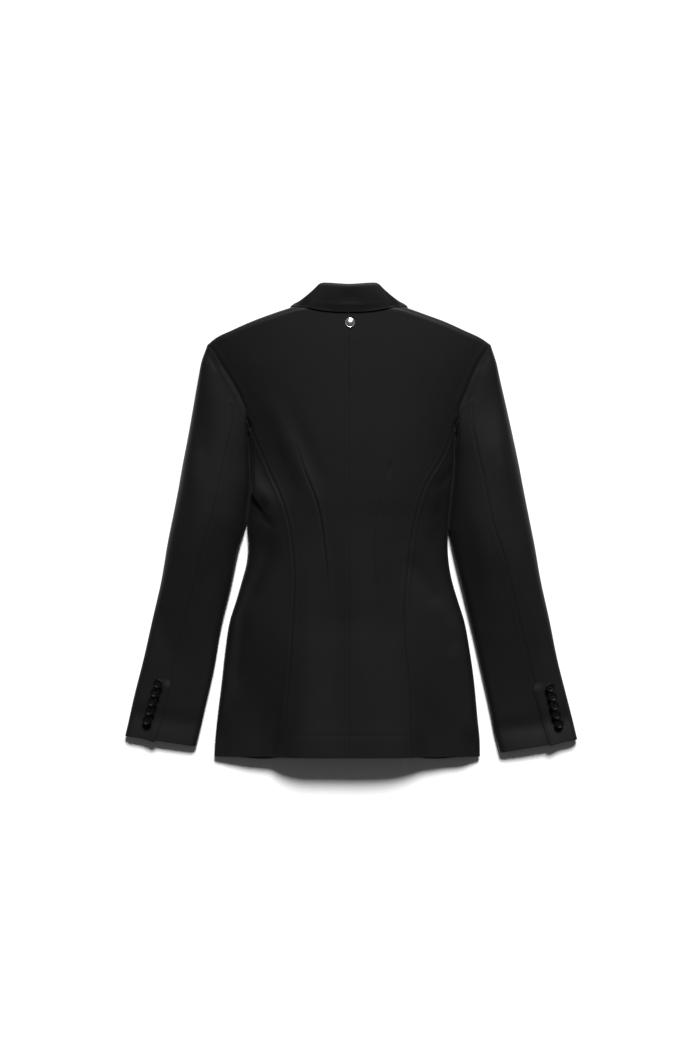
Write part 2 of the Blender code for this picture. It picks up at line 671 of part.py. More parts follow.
def make_lapel(side):
    """A lapel: a flat leaf under the front, from the roll line out to its edge."""
    sign = SIDES[side]
    knots = column(LAPEL_WIDTH, LAPEL_WIDTH_COLUMNS, "y")
    widths = column(LAPEL_WIDTH, LAPEL_WIDTH_COLUMNS, "width")
    levels = np.linspace(LAPEL_START_Y, LAPEL_NOTCH_Y, LAPEL_ROWS)
    inner_x = roll_line_x(levels, side)
    outer_x = inner_x + sign * np.interp(levels, knots, widths)
    rise = ease(levels, LAPEL_SLOPE_FROM_Y, LAPEL_NOTCH_Y) * LAPEL_SLOPE
    share = np.linspace(0, 1, LAPEL_LINES)[None, :]
    x = inner_x[:, None] * (1 - share) + outer_x[:, None] * share
    y = levels[:, None] + rise[:, None] * (1 - share)
    outer = np.dstack([x, y, np.zeros_like(x)])
    normals = np.zeros_like(outer)
    normals[..., 2] = -1
    return make_cloth("lapel_" + side, outer, normals)


def sleeve_sections(side, hole):
    """The sleeve as closed rings from the armhole to the cuff, each from outer to inner fold and back."""
    table = SLEEVES[side]
    half = np.linspace(0, 1, DENSE // 2)
    over_t = (1 - np.cos(np.pi * half)) / 2
    rows = []
    for outer_x, outer_y, inner_x, inner_y, crown, _ in table:
        width = np.hypot(inner_x - outer_x, inner_y - outer_y)
        edge = width * np.minimum(over_t, 1 - over_t)
        rise = (1 - np.abs(2 * over_t - 1) ** SLEEVE_ARCH_BEND) ** ARCH_LIFT
        over_z = FOLD_HALF * (1 + arc(edge / FOLD_RUN)) + (crown - 2 * FOLD_HALF) * rise
        under_z = FOLD_HALF * (1 - arc(edge / FOLD_RUN))
        x = outer_x + (inner_x - outer_x) * over_t
        y = outer_y + (inner_y - outer_y) * over_t
        over = np.column_stack([x, y, over_z])
        under = np.column_stack([x, y, under_z])[::-1]
        rows.append(np.vstack([over, under[1:-1]]))
    rows = np.array(rows)
    reach = hole["reach"]
    over_at = hole["underarm"] * over_t
    under_at = hole["underarm"] + (reach[-1] - hole["underarm"]) * (1 - over_t[::-1][1:-1])
    ring, ring_normals = armhole_points(hole, np.concatenate([over_at, under_at]), False)
    shift = ring - rows[0]
    for i, share in enumerate(SLEEVE_EASE):
        rows[i] = rows[i] + shift * share
        rows[i, :, 2] = np.maximum(rows[i, :, 2], 0)
    normals = grid_normals(rows, rows.mean(axis=1), closed=True)
    normals[0] = ring_normals
    return rows, normals


def sleeve_piece(hole, rows, normals, stops, start, stop):
    """One piece of the sleeve: a row on the armhole stops, then rows between two shares of each ring."""
    half_gap = SLEEVE_SEAM_GAP / 2
    total = rows.shape[1]
    share = (stops - stops[0]) / (stops[-1] - stops[0])
    wrapped = np.clip(stops, stops[0] + half_gap, stops[-1] - half_gap) % hole["reach"][-1]
    first, first_normals = armhole_points(hole, wrapped, False)
    points = [first]
    directions = [first_normals]
    easing = np.concatenate([STOP_EASE, np.zeros(len(rows))])
    for i in range(1, len(rows)):
        ring = np.vstack([rows[i], rows[i], rows[i][:1]])
        facing = np.vstack([normals[i], normals[i], normals[i][:1]])
        reach = lengths(ring)
        marks = np.arange(len(ring))
        begin = np.interp(start[i] * total, marks, reach) + half_gap
        end = np.interp(stop[i] * total, marks, reach) - half_gap
        fold_mark = total if start[i] < 1 <= stop[i] else total / 2
        fold_at = np.interp(fold_mark, marks, reach) - begin
        path = at_lengths(ring, ring, np.linspace(begin, end, WHOLE_PATH))
        even = spaced(path, len(stops), fold_at, *SLEEVE_CROWD)
        even = even / even[-1]
        mixed = even * (1 - easing[i]) + share * easing[i]
        wanted = begin + (end - begin) * mixed
        points.append(at_lengths(ring, ring, wanted))
        directions.append(unit(at_lengths(ring, facing, wanted)))
    return np.array(points), np.array(directions)


def ring_share(t, under=False):
    """The share of a closed ring at the fraction t of the way across, on its upper or its under half."""
    share = np.arccos(1 - 2 * np.asarray(t)) / np.pi / 2
    return 1 - share if under else share


def make_sleeve(side, hole):
    """The top sleeve over the outer fold and the under sleeve over the inner fold."""
    rows, normals = sleeve_sections(side, hole)
    seam = column(SLEEVES[side], SLEEVE_COLUMNS, "seam")
    over_seam = ring_share(seam)
    under_seam = np.full_like(over_seam, ring_share(UNDER_SEAM, under=True))
    back, across, front = ring_stops(hole)
    whole = hole["reach"][-1]
    top_stops = np.concatenate([front[UNDER_SEAM_STOP:-1], [whole], whole + back[-2:OVER_SEAM_STOP - 1:-1]])
    under_stops = np.concatenate([back[OVER_SEAM_STOP::-1], across[1:-1], front[:UNDER_SEAM_STOP + 1]])
    top = sleeve_piece(hole, rows, normals, top_stops, under_seam, over_seam + 1)
    under = sleeve_piece(hole, rows, normals, under_stops, over_seam, under_seam)
    return [make_cloth("top_sleeve_" + side, *top), make_cloth("under_sleeve_" + side, *under)]


def collar_line(name):
    """One line of the collar from its left front end round the back to its right one."""
    points = np.column_stack([column(COLLAR, COLLAR_COLUMNS, name + "_" + axis) for axis in "xyz"])
    left = points[::-1] * np.array([-1, 1, 1])
    return np.vstack([left, points[1:]]) + np.array([CENTRE_X, 0, 0])


def make_collar():
    """The stand from the neck seam up to the fold, and the fall from the fold to its free edge."""
    fold = collar_line("fold")
    edge = collar_line("edge")
    neck = collar_line("neck")
    shares = np.linspace(0, 1, COLLAR_LINES)
    rows = np.array([fold * (1 - t) + edge * t for t in shares])
    travel = np.gradient(fold, axis=0)
    facing = unit(np.cross(edge - fold, travel))
    middle = len(fold) // 2
    if facing[middle, 2] < 0:
        facing = -facing
    swell = COLLAR_SWELL * np.sin(np.pi * shares ** COLLAR_SWELL_BIAS)
    rows = rows + facing[None] * swell[:, None, None]
    rows[..., 2] = np.maximum(rows[..., 2], 0)
    ahead = np.abs(np.arange(len(fold)) - middle) <= COLLAR_ON_BACK
    lowest = back_height(rows[..., 0], rows[..., 1]) + COLLAR_WALL + COLLAR_CLEAR
    rows[..., 2] = np.where(ahead[None], np.maximum(rows[..., 2], lowest), rows[..., 2])
    normals = unit(np.cross(np.gradient(rows, axis=0), np.gradient(rows, axis=1)))
    if normals[2, middle, 2] < 0:
        normals = -normals
    make_cloth("collar_fall", rows, normals, COLLAR_WALL)
    skip = middle - STAND_ROWS_KEPT + 1
    kept = slice(skip, len(fold) - skip)
    low = fold[kept] - facing[kept] * (COLLAR_WALL + SEAM_GAP)
    band = np.array([neck[kept] * (1 - t) + low * t for t in np.linspace(0, 1, STAND_LINES)])
    directions = unit(np.cross(np.gradient(band, axis=0), np.gradient(band, axis=1)))
    if directions[1, (kept.stop - kept.start) // 2, 2] < 0:
        directions = -directions
    make_cloth("collar_stand", band, directions, WALL)


def make_disc(name, centre, axis, radius, thick, look, dome, segments=BUTTON_SEGMENTS):
    """A round disc, dished or domed, with a flat back: centred on the back, facing along the axis."""
    axis = unit(np.array(axis, float))
    side = unit(np.cross(axis, [0.0, 1.0, 0.1]))
    up = np.cross(axis, side)
    profile = [(radius * r, thick * h) for r, h in DISC_OUTLINE]
    if dome:
        profile.append((radius * DOME_SHOULDER[0], thick * DOME_SHOULDER[1]))
    turns = np.arange(segments) * 2 * np.pi / segments
    ring = np.cos(turns)[:, None] * side + np.sin(turns)[:, None] * up
    vertices = [centre + r * ring + h * axis for r, h in profile]
    crown = thick * (DOME_TOP if dome else DISH_BOTTOM)
    vertices = np.vstack(vertices + [[centre], [centre + axis * crown]])
    low, high = len(vertices) - 2, len(vertices) - 1
    faces = []
    for k in range(segments):
        nxt = (k + 1) % segments
        for level in range(len(profile) - 1):
            a, b = level * segments, (level + 1) * segments
            faces.append((a + k, a + nxt, b + nxt, b + k))
        top = (len(profile) - 1) * segments
        faces.append((top + k, top + nxt, high))
        faces.append((nxt, k, low))
    return make_object(name, vertices, faces, look)


def heights_below(trees, places):
    """How high the topmost skin lies at each place, looking straight down."""
    found = []
    for x, y in places:
        start = Vector((x * MM, y * MM, 1.0))
        hits = [tree.ray_cast(start, Vector((0, 0, -1)))[0] for tree in trees]
        found.append(max(hit.z for hit in hits if hit) / MM)
    return np.array(found)


def make_cuff_buttons(side, sleeve):
    """Five buttons beside the cuff vent, each seated on the sleeve and tilted to overlap the next."""
    bpy.context.view_layer.update()
    depsgraph = bpy.context.evaluated_depsgraph_get()
    trees = [BVHTree.FromObject(piece, depsgraph) for piece in sleeve]
    places = np.array(CUFF_BUTTONS[side], float)
    run = unit(places[-1] - places[0])
    turns = np.linspace(0, 2 * np.pi, SEAT_SPOTS, endpoint=False)
    rim = np.column_stack([np.cos(turns), np.sin(turns)]) * CUFF_BUTTON_RADIUS
    spots = np.vstack([rim, rim * SEAT_INNER_RING])
    for k, place in enumerate(places, start=1):
        below = heights_below(trees, place + spots)
        design = np.column_stack([np.ones(len(spots)), spots])
        slope = np.linalg.lstsq(design, below, rcond=None)[0][1:]
        normal = unit(np.array([-slope[0], -slope[1], 1.0]))
        tilt = np.array([run[0], run[1], 0]) * np.sin(CUFF_BUTTON_TILT)
        axis = unit(normal * np.cos(CUFF_BUTTON_TILT) - tilt)
        underside = -(spots @ axis[:2]) / axis[2]
        seat = np.max(below - underside) + CUFF_BUTTON_CLEAR
        centre = np.array([place[0], place[1], seat])
        name = "cuff_button_" + side + "_" + str(k)
        make_disc(name, centre, axis, CUFF_BUTTON_RADIUS, CUFF_BUTTON_THICK, BUTTON_SATIN, False)


def make_trims():
    """The stud under the collar and the plain button at the waist."""
    x, y = STUD_PLACE
    normal = skin_normals(back_height, np.array([x]), np.array([y]), 1)[0]
    skin = back_height(np.array([x]), np.array([y]))[0]
    centre = np.array([x, y, skin]) + normal * STUD_SEAT
    make_disc("neck_stud", centre, normal, STUD_RADIUS, STUD_THICK, SILVER, True, STUD_SEGMENTS)
    x, y = FRONT_BUTTON_PLACE
    centre = np.array([x, y, FRONT_BUTTON_THICK + FRONT_BUTTON_CLEAR])
    down = (0, 0, -1)
    make_disc("front_button", centre, down, FRONT_BUTTON_RADIUS, FRONT_BUTTON_THICK, BUTTON_SATIN, False)


def settle():
    """Put the middle of the jacket over the origin and its underside on the surface."""
    pieces = [piece for piece in bpy.data.objects if piece.type == "MESH"]
    corners = np.array([tuple(v.co) for piece in pieces for v in piece.data.vertices])
    low = corners.min(axis=0)
    high = corners.max(axis=0)
    middle = (low + high) / 2
    for piece in pieces:
        piece.location = (-middle[0], -middle[1], -low[2])


def main():
    """Build every piece of the jacket."""
    for old in list(bpy.data.objects):
        bpy.data.objects.remove(old)
    for side in SIDES:
        hole = armhole(side)
        make_back(side, hole)
        make_side(side, hole)
        make_front(side, hole)
        make_lapel(side)
        make_cuff_buttons(side, make_sleeve(side, hole))
    make_collar()
    make_trims()
    settle()


main()
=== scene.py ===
# %% [markdown]
# A fitted tailored jacket lies on its front, with its back up and its sleeves beside it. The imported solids
# are the frame: they hold the place and the outline of every piece. Here each piece of cloth is made again
# as a thin shell on its solid's outline, fine enough to hold seams, darts and soft creases. Its heights
# follow the solid's in the main, and differ by some millimetres where the cloth looks higher or lower. Each
# button is a turned disc.

import bmesh
import bpy
import numpy as np
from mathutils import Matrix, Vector


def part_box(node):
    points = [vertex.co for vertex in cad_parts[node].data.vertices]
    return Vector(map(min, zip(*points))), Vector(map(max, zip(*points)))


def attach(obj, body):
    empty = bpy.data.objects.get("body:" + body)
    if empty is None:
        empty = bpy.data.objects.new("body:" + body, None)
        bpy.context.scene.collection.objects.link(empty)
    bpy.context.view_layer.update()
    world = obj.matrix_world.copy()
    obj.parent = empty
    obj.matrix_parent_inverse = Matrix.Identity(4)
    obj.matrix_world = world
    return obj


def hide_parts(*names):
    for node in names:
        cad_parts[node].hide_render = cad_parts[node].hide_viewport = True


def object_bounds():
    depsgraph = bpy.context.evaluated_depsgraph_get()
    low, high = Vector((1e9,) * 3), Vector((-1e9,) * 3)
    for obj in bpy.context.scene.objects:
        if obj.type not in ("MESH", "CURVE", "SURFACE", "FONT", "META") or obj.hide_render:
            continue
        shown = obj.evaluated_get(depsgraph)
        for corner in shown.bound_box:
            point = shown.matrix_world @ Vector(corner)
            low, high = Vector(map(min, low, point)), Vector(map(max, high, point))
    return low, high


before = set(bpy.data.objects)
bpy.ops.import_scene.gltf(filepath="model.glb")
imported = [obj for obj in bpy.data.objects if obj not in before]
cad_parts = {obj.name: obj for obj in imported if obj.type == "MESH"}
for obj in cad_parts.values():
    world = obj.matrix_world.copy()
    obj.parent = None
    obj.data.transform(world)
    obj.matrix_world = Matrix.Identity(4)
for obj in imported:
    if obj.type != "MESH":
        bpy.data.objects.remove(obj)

cad_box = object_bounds()
print("solids:", len(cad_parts), "box in mm:", [round((b - a) * 1000) for a, b in zip(*cad_box)])

# %% [markdown]
# A pattern cutter works in millimetres, so the drawing here does too, with +X to the wearer's right, +Y to
# the collar and +Z up. The solids were moved after they were drawn, to stand over the origin. Three of
# their faces say by how much, so the same drawing lands on them.

# %% Where the drawing's origin lies in the frame
MM = 0.001
CENTRE_X = -3.5
HEM_Y = -363.0
SOLID_SEAM_GAP = 0.3
SIDES = {"left": -1, "right": 1}

ORIGIN = np.array([
    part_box("back_left")[1].x / MM - (CENTRE_X - SOLID_SEAM_GAP / 2),
    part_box("back_left")[0].y / MM - HEM_Y,
    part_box("front_left")[0].z / MM,
])
print("drawing moved by", ORIGIN.round(2), "mm")

# %% [markdown]
# Cloth has no corners of its own, so each outline is a short table of places and a smooth curve through
# them. The curve is a cubic between each two places, and its slope at a place comes from the places on both
# sides.


# %% Curves through tables
def column(table, names, name):
    """One named column of a table, as an array."""
    return np.array([row[names.index(name)] for row in table], float)


def smooth(x, knots, values):
    """A cubic through the knots: values and slopes at both ends of a span, mixed by the Hermite weights."""
    slopes = np.gradient(values, knots, axis=0)
    x = np.clip(x, knots[0], knots[-1])
    i = np.clip(np.searchsorted(knots, x) - 1, 0, len(knots) - 2)
    span = knots[i + 1] - knots[i]
    t = (x - knots[i]) / span
    shape = span.shape + (1,) * (values.ndim - 1)
    span, t = np.reshape(span, shape), np.reshape(t, shape)
    from_start = (1 + 2 * t) * (1 - t) ** 2 * values[i] + t * (1 - t) ** 2 * span * slopes[i]
    from_end = t * t * (3 - 2 * t) * values[i + 1] - t * t * (1 - t) * span * slopes[i + 1]
    return from_start + from_end


def table_curve(at, table, names, name):
    """A named column of a table as a smooth curve over the table's first column."""
    return smooth(at, column(table, names, names[0]), column(table, names, name))


def ease(x, start, stop):
    """0 before start and 1 after stop, with 3t2 - 2t3 between."""
    t = np.clip((x - start) / (stop - start), 0, 1)
    return t * t * (3 - 2 * t)


def arc(t):
    """A quarter circle: the square root of 1 - (1 - t)2, steep at 0 and level from 1."""
    return np.sqrt(1 - (1 - np.clip(t, 0, 1)) ** 2)


def unit(vectors):
    """The vectors at length 1."""
    return vectors / np.maximum(np.linalg.norm(vectors, axis=-1, keepdims=True), 1e-9)


def lengths(path):
    """The distance from a path's start to each of its points, along it."""
    return np.concatenate([[0], np.cumsum(np.linalg.norm(np.diff(path, axis=0), axis=1))])


def along(points, count):
    """A smooth path of evenly spaced points through a few places."""
    points = np.array(points, float)
    reach = lengths(points)
    return smooth(np.linspace(0, reach[-1], count), reach, points)


def at_lengths(path, values, wanted):
    """The rows of values at the wanted distances along the path."""
    reach = lengths(path)
    return np.stack([np.interp(wanted, reach, values[:, k]) for k in range(values.shape[1])], axis=-1)


def crowded(count, peaks):
    """Shares from 0 to 1, closer together near each peak: (where, how much closer, how wide)."""
    t = np.linspace(0, 1, 800)
    weight = 1 + sum(more * np.exp(-(((t - place) / width) ** 2)) for place, more, width in peaks)
    share = np.concatenate([[0], np.cumsum((weight[1:] + weight[:-1]) / 2)])
    return np.interp(np.linspace(0, share[-1], count), share, t)


# %% [markdown]
# The body is drawn as the photograph shows it: the two side folds, the princess seams, the armholes and the
# shoulder line, each as a short table. The hidden side folds under by the reach of the side panel.

# %% The drawing of the body
WALL = 1.5
SEAM_GAP = 0.02
FOLD_HALF = 6.5
FOLD_RUN = 10.0
SHOULDER_RUN = 7.5
FRONT_SHOULDER_RUN = 12.0
ARCH_SPREAD_COLUMNS = ("y", "past_fold")
ARCH_SPREAD = [(-30, 0), (9, 2), (33, 4.5), (56, 8), (88, 13.5), (127, 23), (156, 31), (168.5, 21.5),
               (188.5, 9), (218, 1), (244, 0)]
ARCH_EDGE_RUN = 3.0
UNDERARM_HEIGHT = 30.0
UNDERARM_RUN = 24.0
SAG = {"left": 0.8, "right": 0.55}
SAG_BELOW_WAIST = (130, 350)
SAG_FROM_MIDDLE = (0.3, 0.8)

# The arch over a laid-out hollow is (1 - s ** bend) ** lift, with s from the middle outwards
BODY_ARCH_BEND = 2.6
SLEEVE_ARCH_BEND = 2.3
ARCH_LIFT = 0.8

BODY_COLUMNS = ("y", "left", "right", "crown")
BODY = [
    (-363, -212, 199.5, 47),
    (-337, -210.5, 199, 46.5),
    (-306, -207.5, 196, 45.5),
    (-244, -200, 190, 44),
    (-198, -195, 183.5, 43),
    (-151, -187.5, 174.5, 42),
    (-121, -178, 165, 42.5),
    (-90, -169, 156, 43),
    (-66, -162.5, 151.5, 43.5),
    (-36, -159.5, 149.5, 44),
    (-12, -161, 150.5, 44.5),
    (9, -161, 152, 45),
    (33, -158.5, 154.5, 46),
    (56, -156, 157, 46.5),
    (88, -156.5, 160, 47),
    (127, -158.5, 162, 47.5),
    (156, -162, 165.5, 47.5),
    (168.5, -178, 180.5, 47.5),
    (188.5, -200, 202, 47.5),
    (218, -225, 225, 47.5),
    (244, -240, 239, 47.5),
    (274, -249, 248.5, 47.5),
    (343, -257, 254.5, 47),
]
PRINCESS_COLUMNS = ("y", "left", "right")
PRINCESS = [
    (-363, -108.5, 95.5),
    (-318, -104, 93.5),
    (-260, -98, 91),
    (-168, -91.5, 82),
    (-70, -88.5, 87.5),
    (4, -98, 98.5),
    (47, -112, 111),
    (70, -123, 122),
    (95, -134, 138),
    (114, -142, 147),
    (127, -148, 152),
    (144, -154, 158),
    (167.6, -161.2, 164.6),
]
UNDERLAP_COLUMNS = ("y", "reach")
UNDERLAP = [(-363, 62), (-50, 58), (14, 48), (74, 32), (134, 17), (160, 13)]

ARMHOLE_BACK = {
    "left": [(-222.2, 273.6), (-214.5, 265.9), (-201.4, 244.3), (-184.4, 218),
             (-169, 189), (-161.2, 167.6), (-162, 156)],
    "right": [(215.3, 273.6), (208.5, 265), (188.5, 230), (175.5, 198),
              (168, 181), (164.6, 167.6), (165.5, 156)],
}
ARMHOLE_FRONT = {
    "left": [(-162, 156), (-163.5, 170), (-168, 190), (-177, 212), (-193, 238), (-210, 260),
             (-222.2, 273.6)],
    "right": [(165.5, 156), (167, 170), (171, 190), (178, 212), (190, 238), (203, 260), (215.3, 273.6)],
}
PRINCESS_ON_ARMHOLE = 12.5
FRONT_SEAM_ON_ARMHOLE = 24.0

TOP_EDGE = {
    "left": [(-222.2, 273.6), (-210.6, 283), (-184.4, 295.6), (-155, 308.5), (-124, 320.2),
             (-104, 327), (-82, 333.4), (-60, 335.4), (-33, 336.6), (CENTRE_X, 337)],
    "right": [(215.3, 273.6), (202.6, 282.3), (174.3, 295.4), (146.5, 307.9), (116, 319.3),
              (97, 326.2), (75, 333.2), (53, 335.4), (26, 336.6), (CENTRE_X, 337)],
}
TOP_HEIGHT_COLUMNS = ("from_centre", "z")
TOP_HEIGHT = [(0, 44.5), (25, 44), (45, 41), (62, 36), (78, 31.5), (100, 31), (140, 31.5), (190, 27),
              (225, 18)]
NECK_HALF = 78.0
NECK_TURN = (50.0, NECK_HALF - 3)
ROLL_END_INSET = 1.0

# The under layer of the hem hangs lowest at this distance from the centre, over this half width
HEM_DROP = 4.0
HEM_DROP_RUN = 23.0
HEM_DROP_FROM_CENTRE = 133.0
HEM_DROP_HALF = 38.0


def body_edge(y, side):
    """The side fold of the body at this level."""
    return table_curve(y, BODY, BODY_COLUMNS, side)


def princess_x(y, side):
    """The princess seam at this level."""
    return table_curve(y, PRINCESS, PRINCESS_COLUMNS, side)


def front_seam_x(y, side):
    """The seam between the side panel and the front, on the underside."""
    return body_edge(y, side) - SIDES[side] * table_curve(y, UNDERLAP, UNDERLAP_COLUMNS, "reach")


def top_y(x):
    """The shoulder and neck line."""
    knots = np.array(TOP_EDGE["left"] + TOP_EDGE["right"][-2::-1], float)
    return smooth(x, knots[:, 0], knots[:, 1])


def top_z(x):
    """How high the shoulder and neck line stands."""
    return table_curve(np.abs(x - CENTRE_X), TOP_HEIGHT, TOP_HEIGHT_COLUMNS, "z")


def hem_drop(x, y):
    """How far the under layer's hem hangs below the back's: a bell on each side, fading up from the hem."""
    bell = np.exp(-(((np.abs(x - CENTRE_X) - HEM_DROP_FROM_CENTRE) / HEM_DROP_HALF) ** 2))
    return HEM_DROP * bell * np.clip((HEM_Y + HEM_DROP_RUN - y) / HEM_DROP_RUN, 0, 1)


# %% [markdown]
# Folds, darts and pressed seams are what the eye reads on plain black cloth. Each one is a row in a table:
# its kind, its half width and height in millimetres, and the few places it runs through. A dart is a sewn
# line in the middle of a panel, with the cloth pulled in along it. The solids have broad folds of their
# own, and the broad folds here lie where those do, some of them shallower.

# %% Broad folds, darts and creases in the back
# Each broad fold: x and y at both ends, half width and height
FOLDS = [
    (-121, -30, -166, -130, 14, -3.0),
    (-166, -130, -180, -260, 16, -2.5),
    (91, -55, 139, -130, 14, -1.6),
    (139, -130, 163, -200, 16, -1.2),
    (-157, 52, -132, 12, 10, -3.0),
    (153, 60, 136, 6, 9, -3.0),
]

DARTS = {
    "left": [(-94.7, 157.7), (-74.6, 86.6), (-51.4, 23.2), (-42.1, -35.6), (-40.6, -142.2), (-46.8, -163.9)],
    "right": [(58.4, 91.2), (44.4, 23.2), (35.2, -35.6), (38.3, -97.4), (52.2, -167.0)],
}

# Kind, half width, height, and the places that the crease runs through
CREASES = [
    ("dart", 2.6, 0.6, DARTS["left"]),
    ("dart", 2.2, 0.45, DARTS["right"]),
    ("fold", 14, 1.3, [(-136, 230), (-110, 150), (-84, 92), (-60, 45), (-46, -20)]),
    ("fold", 12, -0.8, [(-104, 200), (-74, 130), (-54, 80), (-30, 20)]),
    ("fold", 12, -0.8, [(-146, 190), (-118, 115), (-96, 62), (-78, 0)]),
    ("fold", 7, -1.0, [(-112, -20), (-143, -80), (-164, -124), (-174, -200), (-184, -300)]),
    ("fold", 8, -0.6, [(80, -45), (112, -95), (137, -127), (156, -155), (172, -200)]),
    ("step", 24, 9.5, [(-206, 120), (-166, 64), (-157.3, 51), (-143, 29.4), (-128.7, 10.8),
                       (-112, -10)]),
    ("fold", 5, -0.8, [(-170, 20), (-150, 12), (-134, 2), (-116, -12)]),
    ("fold", 12, -1.4, [(164, 44), (152, 16), (142, -4), (128, -40)]),
    ("fold", 7, -1.4, [(168, 100), (154, 78), (140, 60), (120, 44)]),
    ("fold", 3, -0.25, [(50, 100), (58.4, 84), (58.4, 64)]),
    ("fold", 3, -0.25, [(68, 100), (59, 85), (58.4, 64)]),
    ("fold", 30, 2.2, [(14, 40), (14, -60), (16, -150), (20, -280), (22, -420)]),
    ("fold", 20, -1.4, [(-28, 20), (-24, -120), (-28, -220), (-28, -420)]),
    ("fold", 20, -1.4, [(66, 10), (60, -130), (66, -280), (66, -420)]),
    ("fold", 17, 1.3, [(-68, 10), (-66, -120), (-72, -300)]),
    ("fold", 10, -3.2, [(-136, -460), (-121, -363), (-116, -330), (-114, -270)]),
    ("fold", 18, 3.4, [(-170, -470), (-160, -372), (-156, -340), (-150, -270)]),
    ("fold", 12, -2.5, [(-206, -400), (-202, -345), (-196, -290)]),
    ("fold", 26, 2.0, [(104, -180), (130, -240), (160, -310), (176, -370), (196, -440)]),
    ("fold", 11, -3.2, [(196, -400), (188, -348), (176, -310)]),
    ("fold", 14, -2.0, [(120, -450), (112, -363), (112, -300)]),
]
CREASE_FADE = 0.45
FOLD_FADE_IN = (-0.15, 0.25)
FOLD_FADE_OUT = (0.75, 1.15)
FOLDS_CLEAR_OF_EDGE = 30.0

# Pressed seams: kind, half width and height
PRINCESS_CREASE = ("seam", 3.2, 0.3)
CENTRE_CREASE = ("seam", 3.0, 0.10)
ARMHOLE_CREASE = ("seam", 4.5, 0.42)
ARMHOLE_CREASE_FADE = 0.1

HEM_STITCHES_Y = -329.0
HEM_STITCHES_HALF = 107.0
HEM_STITCHES_FADE = 20.0
STITCH_DEPTH = 0.22
STITCH_HALF = 2.2
STITCH_SPACING = 7.0


def beside(points, path):
    """The signed distance of each point from a path, and the share of the path at its nearest place."""
    start, run = path[:-1], np.diff(path, axis=0)
    gap = points[:, None] - start
    t = np.clip(np.sum(gap * run, axis=2) / np.sum(run * run, axis=1), 0, 1)
    off = gap - t[..., None] * run
    distance = np.linalg.norm(off, axis=2)
    nearest = np.argmin(distance, axis=1)
    rows = np.arange(len(points))
    turn = run[nearest, 0] * off[rows, nearest, 1] - run[nearest, 1] * off[rows, nearest, 0]
    return distance[rows, nearest] * np.sign(turn), (nearest + t[rows, nearest]) / len(run)


def profile(kind, q):
    """The height across a crease, q half widths from its line.

    A fold is a bell. A step is a bell that falls off seven times as fast on its right as on its left, where
    one layer hangs over the next. A dart is a narrow groove with a soft lip on one side. A seam is a narrow
    groove with the turned edges raising the cloth on both sides of it.
    """
    if kind == "fold":
        return np.exp(-q * q)
    if kind == "step":
        return np.exp(-((np.where(q > 0, 1, 7) * q) ** 2))
    groove = np.exp(-((1.6 * q) ** 2))
    if kind == "dart":
        return np.exp(-((q - 1.5) ** 2)) * 0.6 - groove
    return np.exp(-((np.abs(q) - 1.2) ** 2) * 2) - 0.4 * groove


def crease_height(x, y, creases, fade=CREASE_FADE):
    """All the creases together. Each fades in and out over a share of its length."""
    total = np.zeros(x.size)
    flat = np.column_stack([x.ravel(), y.ravel()])
    for kind, half_width, height, places in creases:
        path = along(places, 48)
        reach = 4 * half_width
        near = np.all((flat > path.min(axis=0) - reach) & (flat < path.max(axis=0) + reach), axis=1)
        if not near.any():
            continue
        off, share = beside(flat[near], path)
        ends = ease(share, 0, fade) * (1 - ease(share, 1 - fade, 1)) if fade else 1
        total[near] += height * ends * profile(kind, off / half_width)
    return total.reshape(x.shape)


def fold_height(x, y):
    """The broad folds: a bell across each, eased in and out along it."""
    total = np.zeros(np.broadcast(x, y).shape)
    for x0, y0, x1, y1, half_width, height in FOLDS:
        run = np.array([x1 - x0, y1 - y0], float)
        t = ((x - x0) * run[0] + (y - y0) * run[1]) / (run @ run)
        off = np.hypot(x - x0 - np.clip(t, 0, 1) * run[0], y - y0 - np.clip(t, 0, 1) * run[1])
        ends = ease(t, *FOLD_FADE_IN) * (1 - ease(t, *FOLD_FADE_OUT))
        total = total + height * ends * np.exp(-((off / half_width) ** 2))
    return total


# %% [markdown]
# Seen from the side, the laid-out body is a low loaf: a rounded fold at each side, a gentle arch over the
# back, and a shoulder that rolls down to its seam. The arch is (1 - s2.6)0.8, where s is 0 at the middle
# and 1 at the fold. Beside the underarm s reaches 1 only past the fold, so the cloth stands high there, and
# towards the hem the arch sinks at both sides. The underside is flat, and lifts only over the turned-back
# lapel, the lap and the button.

# %% The upper skin and the underside
BREAK_Y = -30.0
LAPEL_START_Y = 34.0
LAPEL_NOTCH_Y = 262.0
FRONT_LAP = 15.0
LAP_FADE = (4.0, 30.0)
LAP_TOP_FADE = (14.0, 60.0)
LAPEL_LEVEL = 2.3
LAPEL_FADE = (8.0, 34.0)
LAPEL_LEAD = (26.0, 4.0)
LAPEL_WIDTH_COLUMNS = ("y", "width")
LAPEL_WIDTH = [(LAPEL_START_Y, 3), (60, 16), (100, 36), (180, 64), (LAPEL_NOTCH_Y, 84), (300, 84),
               (335, 50)]
BUTTON_LEVEL = 3.0
BUTTON_FADE = (3.0, 34.0)
FRONT_BUTTON_PLACE = (CENTRE_X, -40.0)
FRONT_BUTTON_RADIUS = 10.0


def arch_spread(y):
    """How far past the side fold the arch would come down: the cloth stands high beside the underarm."""
    return table_curve(y, ARCH_SPREAD, ARCH_SPREAD_COLUMNS, "past_fold")


def sag(s, x, y):
    """The share of the arch that is lost towards the hem, where the cloth sinks at both sides."""
    depth = np.where(x < CENTRE_X, SAG["left"], SAG["right"])
    return depth * ease(s, *SAG_FROM_MIDDLE) * ease(-y, *SAG_BELOW_WAIST)


